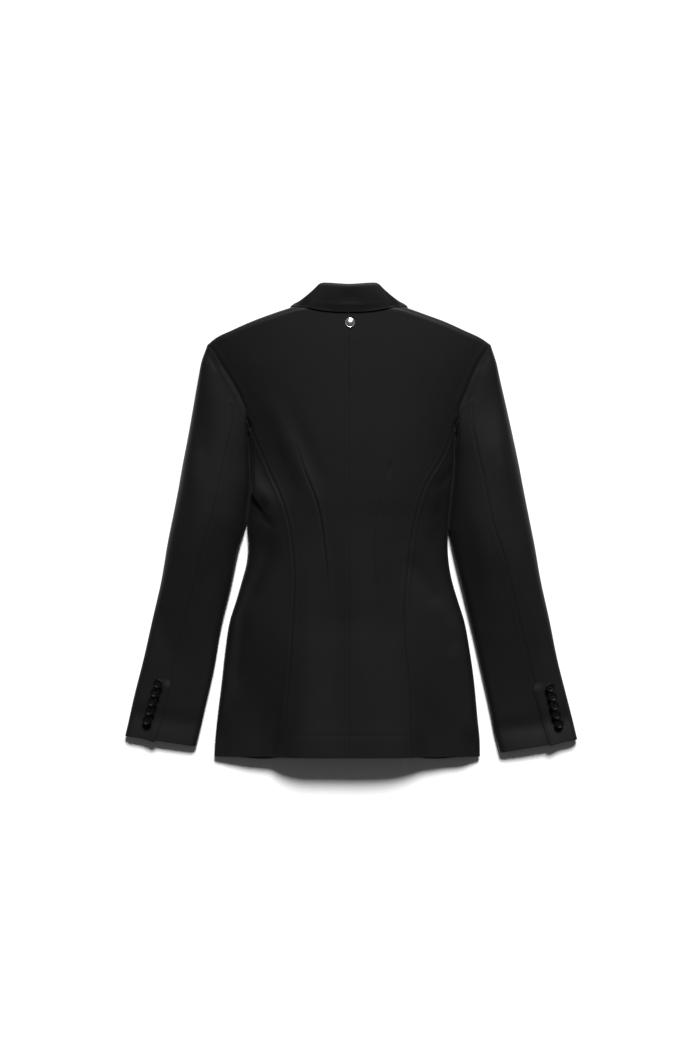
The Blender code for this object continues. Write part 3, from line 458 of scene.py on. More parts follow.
def back_height(x, y):
    """The upper skin: quarter circles at the side folds, the arch, the broad folds, the rolled shoulder."""
    left = body_edge(y, "left")
    right = body_edge(y, "right")
    crown = table_curve(y, BODY, BODY_COLUMNS, "crown")
    edge = np.maximum(np.minimum(x - left, right - x), 0)
    s = np.clip(np.abs(2 * x - left - right) / (right - left + 2 * arch_spread(y)), 0, 1)
    rise = (1 - s ** BODY_ARCH_BEND) ** ARCH_LIFT * arc(edge / ARCH_EDGE_RUN) * (1 - sag(s, x, y))
    height = FOLD_HALF * (1 + arc(edge / FOLD_RUN)) + (crown - 2 * FOLD_HALF) * rise
    height = height + fold_height(x, y) * ease(edge, 0, FOLDS_CLEAR_OF_EDGE)
    seam = top_z(x)
    return seam + (height - seam) * arc((top_y(x) - y) / SHOULDER_RUN)


def roll_line_x(y, side):
    """The line where the lapel turns back, and the front edge below it."""
    start = CENTRE_X - SIDES[side] * FRONT_LAP
    stop = CENTRE_X + SIDES[side] * (NECK_HALF - ROLL_END_INSET)
    t = (np.maximum(y, BREAK_Y) - BREAK_Y) / (top_y(np.array(stop)) - BREAK_Y)
    return start + (stop - start) * t


def lapel_zone(x, y, side):
    """1 over the lapel of this side and 0 well away from it."""
    away = SIDES[side] * (x - roll_line_x(y, side))
    width = table_curve(y, LAPEL_WIDTH, LAPEL_WIDTH_COLUMNS, "width")
    across = 1 - ease(away, width + LAPEL_FADE[0], width + LAPEL_FADE[1])
    return across * ease(y, LAPEL_START_Y - LAPEL_LEAD[0], LAPEL_START_Y - LAPEL_LEAD[1])


def button_zone(x, y):
    """1 over the front button and 0 well away from it."""
    off = np.hypot(x - FRONT_BUTTON_PLACE[0], y - FRONT_BUTTON_PLACE[1])
    return 1 - ease(off, FRONT_BUTTON_RADIUS + BUTTON_FADE[0], FRONT_BUTTON_RADIUS + BUTTON_FADE[1])


def front_height(x, y, side):
    """The underside: flat on the surface, lifted over its lapel, its lap and the shoulder."""
    edge = np.maximum(SIDES[side] * (body_edge(y, side) - x), 0)
    fold = FOLD_HALF * (1 - arc(edge / FOLD_RUN))
    layers = np.maximum(LAPEL_LEVEL * lapel_zone(x, y, "right"), BUTTON_LEVEL * button_zone(x, y))
    if side == "left":
        inner_edge = 2 * FRONT_LAP
        lap = 1 - ease(CENTRE_X + FRONT_LAP - x, inner_edge + LAP_FADE[0], inner_edge + LAP_FADE[1])
        lap = lap * (1 - ease(y, LAPEL_START_Y + LAP_TOP_FADE[0], LAPEL_START_Y + LAP_TOP_FADE[1]))
        layers = np.maximum(LAPEL_LEVEL * lapel_zone(x, y, "left"), (layers + LAPEL_LEVEL) * lap)
    height = fold + layers
    seam = top_z(x)
    return seam + (height - seam) * arc((top_y(x) - y) / FRONT_SHOULDER_RUN)


def seam_paths(side):
    """The long seams of the back as creases: the princess seam of this side and the centre seam."""
    low, y = np.linspace(HEM_Y - 20, 160, 24), np.linspace(HEM_Y - 20, 300, 24)
    return [(*PRINCESS_CREASE, np.column_stack([princess_x(low, side), low])),
            (*CENTRE_CREASE, np.column_stack([np.full_like(y, CENTRE_X), y]))]


def armhole_ridge(x, y, side):
    """The pressed armhole seam: a soft ridge where the turned edges lie under the cloth."""
    return crease_height(x, y, [(*ARMHOLE_CREASE, ARMHOLE_BACK[side][:-1])], fade=ARMHOLE_CREASE_FADE)


def hem_stitches(x, y):
    """A row of small dents where blind stitches hold the turned-up hem: a groove times 0.7 + 0.3 cos."""
    wave = 0.7 + 0.3 * np.cos(2 * np.pi * x / STITCH_SPACING)
    row = np.exp(-(((y - HEM_STITCHES_Y) / STITCH_HALF) ** 2)) * wave
    stop = HEM_STITCHES_HALF
    return -STITCH_DEPTH * row * (1 - ease(np.abs(x - CENTRE_X), stop - HEM_STITCHES_FADE, stop))


def relief(x, y, side):
    """Everything raised or sunk in the upper skin of the body, in millimetres."""
    total = crease_height(x, y, CREASES) + crease_height(x, y, seam_paths(side), fade=0)
    return total + armhole_ridge(x, y, side) + hem_stitches(x, y)


# %% [markdown]
# The armhole is one closed line that the body and a sleeve share. It starts at the shoulder point, runs
# down the back to the underarm, and comes back under the front. Each piece takes its own stretch of it,
# half a seam gap to its own side, so their outer faces meet like sewn cloth. The walls behind them press
# into each other a little where the cloth turns.

# %% The armhole
HALF_RING = 240
SLOPE_STEP = 0.5
STEEPEST = 3.0

# How far the armhole's outward direction turns level: near the shoulder point and near the underarm
SHOULDER_TURN = (2.0, 30.0)
SHOULDER_TURN_INSET = 6.0
UNDERARM_TURN = (3.0, 26.0)


def shoulder_normal(x):
    """The outward direction along the shoulder seam, level with the surface."""
    slope = (top_y(x + 2) - top_y(x - 2)) / 4
    return unit(np.stack([-slope, np.ones_like(slope), np.zeros_like(slope)], axis=-1))


def skin_normals(height, x, y, up):
    """Outward normals of a skin z = height(x, y), its slope limited at the folds."""
    step = SLOPE_STEP
    slope_x = np.clip((height(x + step, y) - height(x - step, y)) / (2 * step), -STEEPEST, STEEPEST)
    slope_y = np.clip((height(x, y + step) - height(x, y - step)) / (2 * step), -STEEPEST, STEEPEST)
    return unit(np.stack([-slope_x * up, -slope_y * up, np.full_like(slope_x, up)], axis=-1))


def armhole(side):
    """The armhole seam as a closed ring from the shoulder point over the back and under the front."""
    sign = SIDES[side]
    over = along(ARMHOLE_BACK[side], HALF_RING)
    under = along(ARMHOLE_FRONT[side], HALF_RING)
    over = np.column_stack([over, back_height(over[:, 0], over[:, 1])])
    under = np.column_stack([under, front_height(under[:, 0], under[:, 1], side)])
    underarm = lengths(over)[-1]
    for line, from_underarm in ((over, underarm - lengths(over)), (under, lengths(under))):
        near = 1 - ease(from_underarm, 0, UNDERARM_RUN)
        line[:, 2] += (UNDERARM_HEIGHT - line[:, 2]) * near
    over_normals = skin_normals(back_height, over[:, 0], over[:, 1], 1)
    under_normals = skin_normals(lambda x, y: front_height(x, y, side), under[:, 0], under[:, 1], -1)
    ring = np.vstack([over, under[1:]])
    normals = np.vstack([over_normals, under_normals[1:]])
    reach = lengths(ring)
    underarm = lengths(over)[-1]
    from_shoulder = np.minimum(reach, reach[-1] - reach)
    tip = shoulder_normal(np.array([over[0, 0] - sign * SHOULDER_TURN_INSET]))
    shoulder_share = (1 - ease(from_shoulder, *SHOULDER_TURN))[:, None]
    underarm_share = (1 - ease(np.abs(reach - underarm), *UNDERARM_TURN))[:, None]
    crotch = np.array([0.0, -1.0, 0.0])
    normals = normals * (1 - shoulder_share) * (1 - underarm_share)
    normals = unit(normals + tip * shoulder_share + crotch * underarm_share)
    inward = unit(np.cross(normals, unit(np.gradient(ring, axis=0))))
    if inward[HALF_RING // 2, 0] * sign > 0:
        inward = -inward
    return {"ring": ring, "normals": normals, "inward": inward, "reach": reach, "underarm": underarm}


def armhole_points(hole, wanted, toward_body):
    """Points of the armhole at these distances along it, half a seam gap to one side."""
    ring = at_lengths(hole["ring"], hole["ring"], wanted)
    inward = unit(at_lengths(hole["ring"], hole["inward"], wanted))
    return ring + inward * (SEAM_GAP / 2 if toward_body else -SEAM_GAP / 2)


HOLES = {side: armhole(side) for side in SIDES}
print("armhole seams:", {side: round(hole["reach"][-1]) for side, hole in HOLES.items()}, "mm")

# %% [markdown]
# Every panel is a grid of points on its outer face. To make cloth of it, the same grid is moved in by the
# cloth's thickness and the two are joined round the edge. At a sewn edge the outer face turns down into the
# seam; at a free edge, such as a hem, both faces turn in, like folded cloth. The turn is a quarter circle
# laid over the first cell.

# %% From a grid of points to a piece of cloth
# Each turned edge: how far it reaches in, and how far the outer and the inner face drop
SEAM_EDGE = (0.9, 0.42, 0.0)
SOFT_SEAM_EDGE = (0.8, 0.2, 0.0)
PRESSED_EDGE = (0.8, 0.12, 0.0)
FREE_EDGE = (0.9, 0.44, 0.44)
TURN_ANGLES = np.linspace(0, np.pi / 2, 5)
LONGEST_TURN = 0.9
cloth_sizes = {}


def turn_edge(sheet, radius, outer_drop, inner_drop):
    """Adds lines over the first cell of a sheet, at 1 - cos of five angles, and drops them by 1 - sin."""
    first, second = sheet[0], sheet[1]
    length = np.linalg.norm(second[:, :3] - first[:, :3], axis=1)
    share = np.minimum(radius / np.maximum(length, 1e-6), LONGEST_TURN)
    lines = first + (second - first) * ((1 - np.cos(TURN_ANGLES))[:, None] * share)[..., None]
    fall = (1 - np.sin(TURN_ANGLES))[:, None]
    lines[..., 6] = np.maximum(lines[..., 6], outer_drop * fall)
    lines[..., 7] = np.maximum(lines[..., 7], inner_drop * fall)
    return np.concatenate([lines, sheet[1:]])


def outward_normals(points, inside):
    """Normals of a grid from its two directions, turned to point away from the place inside."""
    normals = unit(np.cross(np.gradient(points, axis=0), np.gradient(points, axis=1)))
    return normals if np.sum(normals * (points - inside)) > 0 else -normals


def new_object(name, data):
    """An object with this data, in the scene."""
    made = bpy.data.objects.new(name, data)
    bpy.context.scene.collection.objects.link(made)
    return made


def make_piece(name, vertices, quads, uv=None):
    """A mesh object from points of the drawing, its faces turned out by the sign of its volume."""
    a, b, c, d = (vertices[quads[:, k]] for k in range(4))
    volume = np.sum(a * np.cross(b, c)) + np.sum(a * np.cross(c, d))
    if volume < 0:
        quads = quads[:, ::-1]
    mesh = bpy.data.meshes.new(name)
    mesh.from_pydata(((vertices + ORIGIN) * MM).tolist(), [], quads.tolist())
    if uv is not None:
        layer = mesh.uv_layers.new(name="weave")
        layer.data.foreach_set("uv", (uv[quads.ravel()] * MM).ravel())
    mesh.shade_smooth()
    return new_object(name, mesh)


def cut_size(points):
    """The flat width and length of a grid, and its area, in millimetres."""
    across = np.linalg.norm(np.diff(points, axis=1), axis=2).sum(axis=1)
    down = np.linalg.norm(np.diff(points, axis=0), axis=2).sum(axis=0)
    side_a = points[1:, 1:] - points[:-1, :-1]
    side_b = points[1:, :-1] - points[:-1, 1:]
    area = np.linalg.norm(np.cross(side_a, side_b), axis=2).sum() / 2
    return across.max(), down.max(), area


def make_cloth(name, points, inside, edges, wall=WALL):
    """Cloth on a grid: edges gives the turns at its first and last row and its first and last column."""
    normals = outward_normals(points, inside)
    across = np.cumsum(np.linalg.norm(np.diff(points, axis=1, prepend=points[:, :1]), axis=2), axis=1)
    down = np.cumsum(np.linalg.norm(np.diff(points, axis=0, prepend=points[:1]), axis=2), axis=0)
    across = across - across[:, -1:] / 2
    drops = np.zeros(points.shape[:2] + (2,))
    sheet = np.concatenate([points, normals, drops, across[..., None], down[..., None]], axis=2)
    first_row, last_row, first_column, last_column = edges
    sheet = turn_edge(sheet, *first_row)
    sheet = turn_edge(sheet[::-1], *last_row)[::-1]
    sheet = turn_edge(sheet.transpose(1, 0, 2), *first_column).transpose(1, 0, 2)
    sheet = turn_edge(sheet.transpose(1, 0, 2)[::-1], *last_column)[::-1].transpose(1, 0, 2)
    place, normal = sheet[..., :3], unit(sheet[..., 3:6])
    outer = place - normal * sheet[..., 6:7]
    inner = place - normal * (wall - sheet[..., 7:8])
    rows, columns = place.shape[:2]
    index = np.arange(rows * columns).reshape(rows, columns)
    corners = (index[:-1, :-1], index[:-1, 1:], index[1:, 1:], index[1:, :-1])
    quads = np.stack(corners, axis=-1).reshape(-1, 4)
    loop = np.concatenate([index[0, :-1], index[:-1, -1], index[-1, :0:-1], index[:0:-1, 0]])
    behind = rows * columns
    rim = np.stack([np.roll(loop, -1), loop, loop + behind, np.roll(loop, -1) + behind], axis=-1)
    faces = np.concatenate([quads, quads[:, ::-1] + behind, rim])
    vertices = np.concatenate([outer.reshape(-1, 3), inner.reshape(-1, 3)])
    uv = np.tile(sheet[..., 8:10].reshape(-1, 2), (2, 1))
    make_piece(name, vertices, faces, uv)
    cloth_sizes[name] = cut_size(points)
    width, length, area = cloth_sizes[name]
    print(f"{name}: {width:.0f} by {length:.0f} mm, {area / 100:.0f} cm2, {2 * len(faces)} triangles")


# %% [markdown]
# The jacket is black wool crepe: hard-twisted yarn in a plain weave, with a dry, slightly pebbled face. It
# gives the eye almost no colour of its own and a faint broad gloss where it tips towards the light, so
# folds read by gloss more than by shade. A real crepe's threads are finer: the weave is drawn coarser here,
# so it shows.

# %% Colours and nodes


def linear(hex_colour):
    """An sRGB hex colour as linear red, green, blue and 1: the sRGB curve undone."""
    c = np.array([int(hex_colour[k:k + 2], 16) for k in (1, 3, 5)]) / 255
    c = np.where(c <= 0.04045, c / 12.92, ((c + 0.055) / 1.055) ** 2.4)
    return (*c, 1.0)


def add(tree, kind, settings=None, links=None):
    """Adds a node. Settings name its sockets or its own properties, and links give a socket its source."""
    made = tree.nodes.new(kind)
    for name, value in (settings or {}).items():
        if name in made.inputs:
            made.inputs[name].default_value = value
        else:
            setattr(made, name, value)
    for name, source in (links or {}).items():
        tree.links.new(source, made.inputs[name])
    return made


def new_material(name):
    """An empty node material, and its tree."""
    material = bpy.data.materials.new(name)
    material.use_nodes = True
    material.node_tree.nodes.clear()
    return material, material.node_tree


def noise(tree, place, size, detail, **more):
    """A noise pattern with patches of this size in millimetres."""
    settings = {"Scale": 1 / (size * MM), "Detail": detail, **more}
    return add(tree, "ShaderNodeTexNoise", settings, {"Vector": place}).outputs["Fac"]


def mix(tree, kind, factor, a, b):
    """A mix of two colours by a mask, or of two masks by a share."""
    settings, links = {"data_type": kind}, {}
    for name, value in (("Factor", factor), ("A", a), ("B", b)):
        (links if isinstance(value, bpy.types.NodeSocket) else settings)[name] = value
    return add(tree, "ShaderNodeMix", settings, links).outputs["Result"]


def spread(tree, mask, low, high):
    """A mask from 0 to 1, carried to values from low to high."""
    return add(tree, "ShaderNodeMapRange", {"To Min": low, "To Max": high}, {"Value": mask}).outputs["Result"]


def bump(tree, height, strength, depth):
    """Normals tipped by a height pattern of this depth in millimetres."""
    settings = {"Strength": strength, "Distance": depth * MM}
    return add(tree, "ShaderNodeBump", settings, {"Height": height}).outputs["Normal"]


def cover(tree, settings, links):
    """The surface of the material: one shader with these settings and links."""
    shader = add(tree, "ShaderNodeBsdfPrincipled", settings, links)
    add(tree, "ShaderNodeOutputMaterial", links={"Surface": shader.outputs["BSDF"]})


# %% Black wool crepe
def wool_crepe():
    """Pebbles from the twisted yarn, a plain weave's grid under them, and patches where the nap lies over."""
    material, tree = new_material("black_wool_crepe")
    pebble, thread, patch = 1.4, 1.1, 34
    place = add(tree, "ShaderNodeUVMap", {"uv_map": "weave"}).outputs["UV"]
    pebbles = noise(tree, place, pebble, 3.0, Roughness=0.6)
    wave = {"Scale": 1 / (thread * MM) / 20, "Distortion": 1.2}
    warp, weft = (add(tree, "ShaderNodeTexWave", {**wave, "bands_direction": way}, {"Vector": place})
                  for way in "XY")
    weave = mix(tree, "FLOAT", 0.5, warp.outputs["Fac"], weft.outputs["Fac"])
    surface = mix(tree, "FLOAT", 0.3, pebbles, weave)
    colour = mix(tree, "RGBA", noise(tree, place, patch, 2.0), linear("#080809"), linear("#0d0d0e"))
    cover(tree, {"Specular IOR Level": 0.15, "IOR": 1.5, "Sheen Weight": 0.02, "Sheen Roughness": 0.5},
          {"Base Color": colour, "Roughness": spread(tree, pebbles, 0.48, 0.58),
           "Normal": bump(tree, surface, 0.35, 0.12)})
    return material


CREPE = wool_crepe()

# %% [markdown]
# A back panel runs from the armhole and the princess seam to the centre seam. Its grid has one set of lines
# down the panel and one across. The lines down crowd together where the dart is sewn, and one of them
# follows the dart, so the groove has clean sides.

# %% The two back panels
LOWER_TOP = 136.0
CENTRE_FIRST = 166.0
ROW_STEP = 2.3
BRIDGE_ROWS = 12
RING_ROWS = 56
BACK_COLUMNS = 72
BACK_CROWD = [(0.5, 2.2, 0.06), (0, 1.5, 0.05), (1, 1.5, 0.05)]
DART_REACH = 60.0
RELIEF_CLEAR_OF_TOP = 12.0


def dart_x(y, side):
    """The dart's line at each level, carried straight on past its ends."""
    places = np.array(DARTS[side][::-1], float)
    return smooth(y, places[:, 1], places[:, 0])


def lower_levels(step):
    """Levels from the hem to the underarm."""
    return np.linspace(HEM_Y, LOWER_TOP, int((LOWER_TOP - HEM_Y) / step))


def top_row_of(side, shares, whole):
    """Points of the shoulder and neck line at these shares: of all of it, or of the shoulder alone."""
    top = along(TOP_EDGE[side], 640)
    reach = lengths(top)
    neck_end = np.interp(NECK_HALF - ROLL_END_INSET, np.abs(top[::-1, 0] - CENTRE_X), reach[::-1])
    return at_lengths(top, top, shares * (reach[-1] if whole else neck_end))


def rows_beside(lower, ring):
    """The side of a panel: its levels, a straight bridge up to the armhole, then the armhole."""
    t = np.linspace(0, 1, BRIDGE_ROWS + 2)[1:-1, None]
    bridge = lower[-1] * (1 - t) + ring[0] * t
    return np.vstack([lower, bridge, ring])


def back_points(side, hole):
    """Plan: seam times 1 - share, plus centre times share, pulled to the shoulder line. Height: the skin."""
    sign = SIDES[side]
    half_gap = SEAM_GAP / 2
    fractions = np.linspace(0, 1, RING_ROWS)
    start = hole["underarm"] - PRINCESS_ON_ARMHOLE
    ring = armhole_points(hole, (start - half_gap) * (1 - fractions) + half_gap * fractions, True)
    levels = lower_levels(ROW_STEP)
    seam = np.column_stack([princess_x(levels, side) - sign * half_gap, levels])
    edge = rows_beside(seam, ring[:, :2])
    centre = CENTRE_X + sign * half_gap
    last = TOP_EDGE[side][-1][1]
    upper_y = CENTRE_FIRST + (last - CENTRE_FIRST) * fractions
    centre_y = rows_beside(levels[:, None], upper_y[:, None])[:, 0]
    middle = np.column_stack([np.full_like(centre_y, centre), centre_y])
    shares = crowded(BACK_COLUMNS, BACK_CROWD)
    top = top_row_of(side, shares, True)
    top[-1, 0] = centre
    top[0] = ring[-1, :2]
    plan = edge[:, None] * (1 - shares[None, :, None]) + middle[:, None] * shares[None, :, None]
    pull = np.concatenate([np.zeros(len(plan) - RING_ROWS), fractions ** 2])
    plan = plan + pull[:, None, None] * (top - plan[-1])[None]
    on_dart = np.argmin(np.abs(shares - 0.5))
    level = plan[:, on_dart, 1]
    low, high = DARTS[side][-1][1], DARTS[side][0][1]
    reached = ease(level, low - DART_REACH, low) * (1 - ease(level, high, high + DART_REACH))
    shift = (dart_x(level, side) - plan[:, on_dart, 0]) * reached
    plan[..., 0] += shift[:, None] * (1 - np.abs(2 * shares - 1)) ** 0.7
    x, y = plan[..., 0], plan[..., 1]
    fade = np.clip((top_y(x) - y) / RELIEF_CLEAR_OF_TOP, 0, 1)
    points = np.dstack([x, y, back_height(x, y) + relief(x, y, side) * fade])
    points[-1, :, 2] += half_gap * ease(np.abs(points[-1, :, 0] - CENTRE_X), *NECK_TURN)
    return points


for side, hole in HOLES.items():
    points = back_points(side, hole)
    edges = (FREE_EDGE, SOFT_SEAM_EDGE, PRESSED_EDGE, SOFT_SEAM_EDGE)
    make_cloth("back_panel_" + side, points, points - np.array([0, 0, 10.0]), edges)

# %% [markdown]
# A side panel starts at the princess seam, turns round the side fold and runs under to the front seam. Its
# lines across are measured from the fold: q is -1 at the princess seam, 0 on the fold and 1 at the front
# seam, and the distance from the fold is q2 / (|q| + 0.15), so the points crowd where the cloth turns.

# %% The two side panels
SIDE_OVER = 54
SIDE_UNDER = 30
FOLD_CROWD = 0.15


def from_fold(q):
    """The share of the way from the fold to a seam."""
    return q * q * (1 + FOLD_CROWD) / (np.abs(q) + FOLD_CROWD)


def side_points(side, hole):
    """Upper half on the upper skin, lower half on the underside, and a last row on the armhole."""
    sign = SIDES[side]
    half_gap = SEAM_GAP / 2
    q = np.concatenate([np.linspace(-1, 0, SIDE_OVER), np.linspace(0, 1, SIDE_UNDER)[1:]])
    over = q <= 0
    levels = lower_levels(ROW_STEP)[:, None]
    fold = body_edge(levels, side)
    seam = np.where(over, princess_x(levels, side), front_seam_x(levels, side)) + sign * half_gap
    x = fold + (seam - fold) * from_fold(q)
    y = np.broadcast_to(levels, x.shape)
    z = np.where(over, back_height(x, y), front_height(x, y, side))
    rows = np.dstack([x, y, z])
    reach = np.where(over, half_gap - PRINCESS_ON_ARMHOLE, FRONT_SEAM_ON_ARMHOLE - half_gap)
    ring = armhole_points(hole, hole["underarm"] + reach * from_fold(q), True)
    t = np.linspace(0, 1, BRIDGE_ROWS + 2)[1:, None, None]
    bridge = rows[-1] * (1 - t) + ring * t
    bridge[..., 2] = rows[-1][:, 2] + (ring[:, 2] - rows[-1][:, 2]) * arc(t[..., 0])
    near_seam = ease(np.abs(q), 0.5, 1)
    skin = np.where(over, back_height(bridge[..., 0], bridge[..., 1]),
                    front_height(bridge[..., 0], bridge[..., 1], side))
    bridge[:-1, :, 2] += ((skin - bridge[..., 2]) * near_seam)[:-1]
    points = np.concatenate([rows, bridge])
    away = np.abs(points[..., 0] - body_edge(points[..., 1], side))
    upper = over * ease(away, 0, 5)
    points[..., 2] += relief(points[..., 0], points[..., 1], side) * upper
    low = 1 - ease(points[..., 2], 1, FOLD_HALF * 2)
    points[..., 1] -= hem_drop(points[..., 0], points[..., 1]) * low
    return points


for side, hole in HOLES.items():
    points = side_points(side, hole)
    inside = points.mean(axis=1, keepdims=True) - np.array([SIDES[side] * 6.0, 0, 0])
    edges = (FREE_EDGE, SOFT_SEAM_EDGE, SEAM_EDGE, SOFT_SEAM_EDGE)
    make_cloth("side_panel_" + side, points, inside, edges)

# %% [markdown]
# The fronts lie face down on the surface. Only their hems show, as a dark band below the back's hem, so
# they are kept plain: flat, lapped at the waist, with the lapels turned back under them.

# %% The two fronts and their lapels
FRONT_ROW_STEP = 4.6
FRONT_COLUMNS = 34
FRONT_CROWD = [(0, 1.5, 0.05), (1, 2.0, 0.06)]
FRONT_EDGE_FIRST = 0.02
LAPEL_ROWS = 60
LAPEL_COLUMNS = 20
LAPEL_SLOPE_FROM_Y = 150.0
LAPEL_SLOPE = 20.0


def front_points(side, hole):
    """Plan: seam side times 1 - share, plus front edge times share. Height: the underside."""
    sign = SIDES[side]
    half_gap = SEAM_GAP / 2
    fractions = np.linspace(0, 1, RING_ROWS // 2)
    start = hole["underarm"] + FRONT_SEAM_ON_ARMHOLE
    stop = hole["reach"][-1]
    wanted = (start + half_gap) * (1 - fractions) + (stop - half_gap) * fractions
    ring = armhole_points(hole, wanted, True)
    levels = lower_levels(FRONT_ROW_STEP)
    seam = np.column_stack([front_seam_x(levels, side) - sign * half_gap, levels])
    edge = rows_beside(seam, ring[:, :2])
    shares = crowded(FRONT_COLUMNS, FRONT_CROWD)
    top = top_row_of(side, shares, False)
    below = levels[levels < BREAK_Y]
    climb = np.linspace(FRONT_EDGE_FIRST, 1, len(edge) - len(below))
    edge_y = np.concatenate([below, BREAK_Y + (top[-1, 1] - BREAK_Y) * climb])
    front_edge = np.column_stack([roll_line_x(edge_y, side), edge_y])
    plan = edge[:, None] * (1 - shares[None, :, None]) + front_edge[:, None] * shares[None, :, None]
    top[0] = ring[-1, :2]
    pull = np.concatenate([np.zeros(len(plan) - len(fractions)), fractions ** 2])
    plan = plan + pull[:, None, None] * (top - plan[-1])[None]
    x, y = plan[..., 0], plan[..., 1]
    points = np.dstack([x, y, front_height(x, y, side)])
    points[-1, :, 2] -= half_gap
    points[..., 1] -= hem_drop(x, y)
    return points


def lapel_points(side):
    """A flat leaf from the roll line out by the lapel's width, its top sloping to the notch."""
    knots = column(LAPEL_WIDTH, LAPEL_WIDTH_COLUMNS, "y")
    widths = column(LAPEL_WIDTH, LAPEL_WIDTH_COLUMNS, "width")
    levels = np.linspace(LAPEL_START_Y, LAPEL_NOTCH_Y, LAPEL_ROWS)
    inner_x = roll_line_x(levels, side)
    outer_x = inner_x + SIDES[side] * np.interp(levels, knots, widths)
    rise = ease(levels, LAPEL_SLOPE_FROM_Y, LAPEL_NOTCH_Y) * LAPEL_SLOPE
    share = np.linspace(0, 1, LAPEL_COLUMNS)[None, :]
    x = inner_x[:, None] * (1 - share) + outer_x[:, None] * share
    y = levels[:, None] + rise[:, None] * (1 - share)
    return np.dstack([x, y, np.zeros_like(x)])


for side, hole in HOLES.items():
    points = front_points(side, hole)
    edges = (FREE_EDGE, SOFT_SEAM_EDGE, SOFT_SEAM_EDGE, FREE_EDGE)
    make_cloth("front_panel_" + side, points, points + np.array([0, 0, 10.0]), edges)
    points = lapel_points(side)
    make_cloth("lapel_leaf_" + side, points, points + np.array([0, 0, 10.0]), (FREE_EDGE,) * 4)

# %% [markdown]
# A tailored sleeve has two pieces: the top sleeve over the outer fold, and the under sleeve at the body. They
# are drawn as rings from the armhole to the cuff, each ring a flattened oval with a fold at both ends, and a
# smooth surface is laid through the rings.

# %% The drawing of the sleeves
SLEEVE_COLUMNS = ("outer_x", "outer_y", "inner_x", "inner_y", "crown", "seam")
SLEEVES = {
    "left": [
        (-222.2, 273.6, -162, 156, 32, 0.60),
        (-231.5, 247.5, -160.5, 142, 32, 0.63),
        (-237.5, 216.5, -158.7, 127, 32, 0.65),
        (-244, 181, -157.7, 108, 32, 0.64),
        (-251.5, 139, -157.3, 83.5, 32, 0.61),
        (-261, 89.5, -157, 56, 32.5, 0.57),
        (-268.5, 47, -160, 27, 33, 0.55),
        (-275, 14, -162, -2, 33, 0.53),
        (-283.5, -28, -172.5, -40, 31, 0.51),
        (-294, -90, -185.5, -100.5, 25.5, 0.48),
        (-308, -151.5, -201, -164, 20, 0.455),
        (-322, -213.5, -212, -227, 16, 0.43),
        (-337.5, -275, -226.5, -290.5, 14, 0.42),
        (-345, -309, -234, -323, 13.5, 0.41),
        (-350.2, -331, -240, -347.5, 14, 0.395),
    ],
    "right": [
        (215.3, 273.6, 165.5, 156, 33, 0.60),
        (224, 247.5, 164.0, 142, 33, 0.63),
        (231, 216.5, 162.3, 127, 33, 0.65),
        (239.5, 181, 161.3, 108, 33, 0.63),
        (249, 139, 160.5, 83.5, 33, 0.60),
        (259.5, 89.5, 158, 56, 33, 0.55),
        (267, 50, 154.7, 27, 33, 0.505),
        (276.5, 2, 151.4, -14, 33, 0.455),
        (283.5, -33, 156.5, -42, 32, 0.42),
        (293.5, -90, 171, -102, 27.5, 0.39),
        (307, -151.5, 187, -167, 22.5, 0.385),
        (319.5, -213.5, 201, -229, 18, 0.37),
        (335, -275, 215.5, -294, 15, 0.36),
        (344.5, -312.5, 222.5, -329.5, 15, 0.347),
        (350.2, -336.5, 230, -357, 16, 0.34),
    ],
}
SLEEVE_EASE = (1.0, 0.62, 0.3, 0.1)
SLEEVE_HEIGHT_EASE = (1.0, 0.9, 0.6, 0.2)
STOP_EASE = (1.0, 0.75, 0.5, 0.25, 0.1)
UNDER_SEAM = 0.30
SLEEVE_SEAM_GAP = 0.02
UPPER_FRACTIONS = (0, 0.17, 0.34, 0.5, 0.64, 0.77, 0.88, 0.95, 1)
SIDE_STOPS = 13
OVER_SEAM_STOP = 2
UNDER_SEAM_STOP = 4
SLEEVE_CROWD = (1.6, 16)


def sleeve_rings(side, hole):
    """All rings at once: t crosses the sleeve as (1 - cos) / 2, over the top and back beneath."""
    table = SLEEVES[side]
    outer_x, outer_y, inner_x, inner_y, crown = (
        column(table, SLEEVE_COLUMNS, name)[:, None] for name in SLEEVE_COLUMNS[:5])
    t = (1 - np.cos(np.pi * np.linspace(0, 1, HALF_RING // 2)))[None] / 2
    width = np.hypot(inner_x - outer_x, inner_y - outer_y)
    edge = width * np.minimum(t, 1 - t)
    s = np.where(t > 0.5, (2 * t - 1) / (1 + 2 * arch_spread(inner_y) / width), 1 - 2 * t)
    rise = (1 - s ** SLEEVE_ARCH_BEND) ** ARCH_LIFT * arc(edge / ARCH_EDGE_RUN)
    over_z = FOLD_HALF * (1 + arc(edge / FOLD_RUN)) + (crown - 2 * FOLD_HALF) * rise
    under_z = FOLD_HALF * (1 - arc(edge / FOLD_RUN))
    x = outer_x + (inner_x - outer_x) * t
    y = outer_y + (inner_y - outer_y) * t
    over = np.dstack([x, y, over_z])
    under = np.dstack([x, y, under_z])[:, ::-1]
    rings = np.concatenate([over, under[:, 1:-1]], axis=1)
    whole = hole["reach"][-1]
    over_at = hole["underarm"] * t[0]
    under_at = hole["underarm"] + (whole - hole["underarm"]) * (1 - t[0, ::-1][1:-1])
    shift = armhole_points(hole, np.concatenate([over_at, under_at]), False) - rings[0]
    share = np.zeros((len(rings), 3))
    share[:len(SLEEVE_EASE)] = np.column_stack([SLEEVE_EASE, SLEEVE_EASE, SLEEVE_HEIGHT_EASE])
    rings = rings + shift[None] * share[:, None]
    rings[..., 2] = np.maximum(rings[..., 2], 0)
    return rings


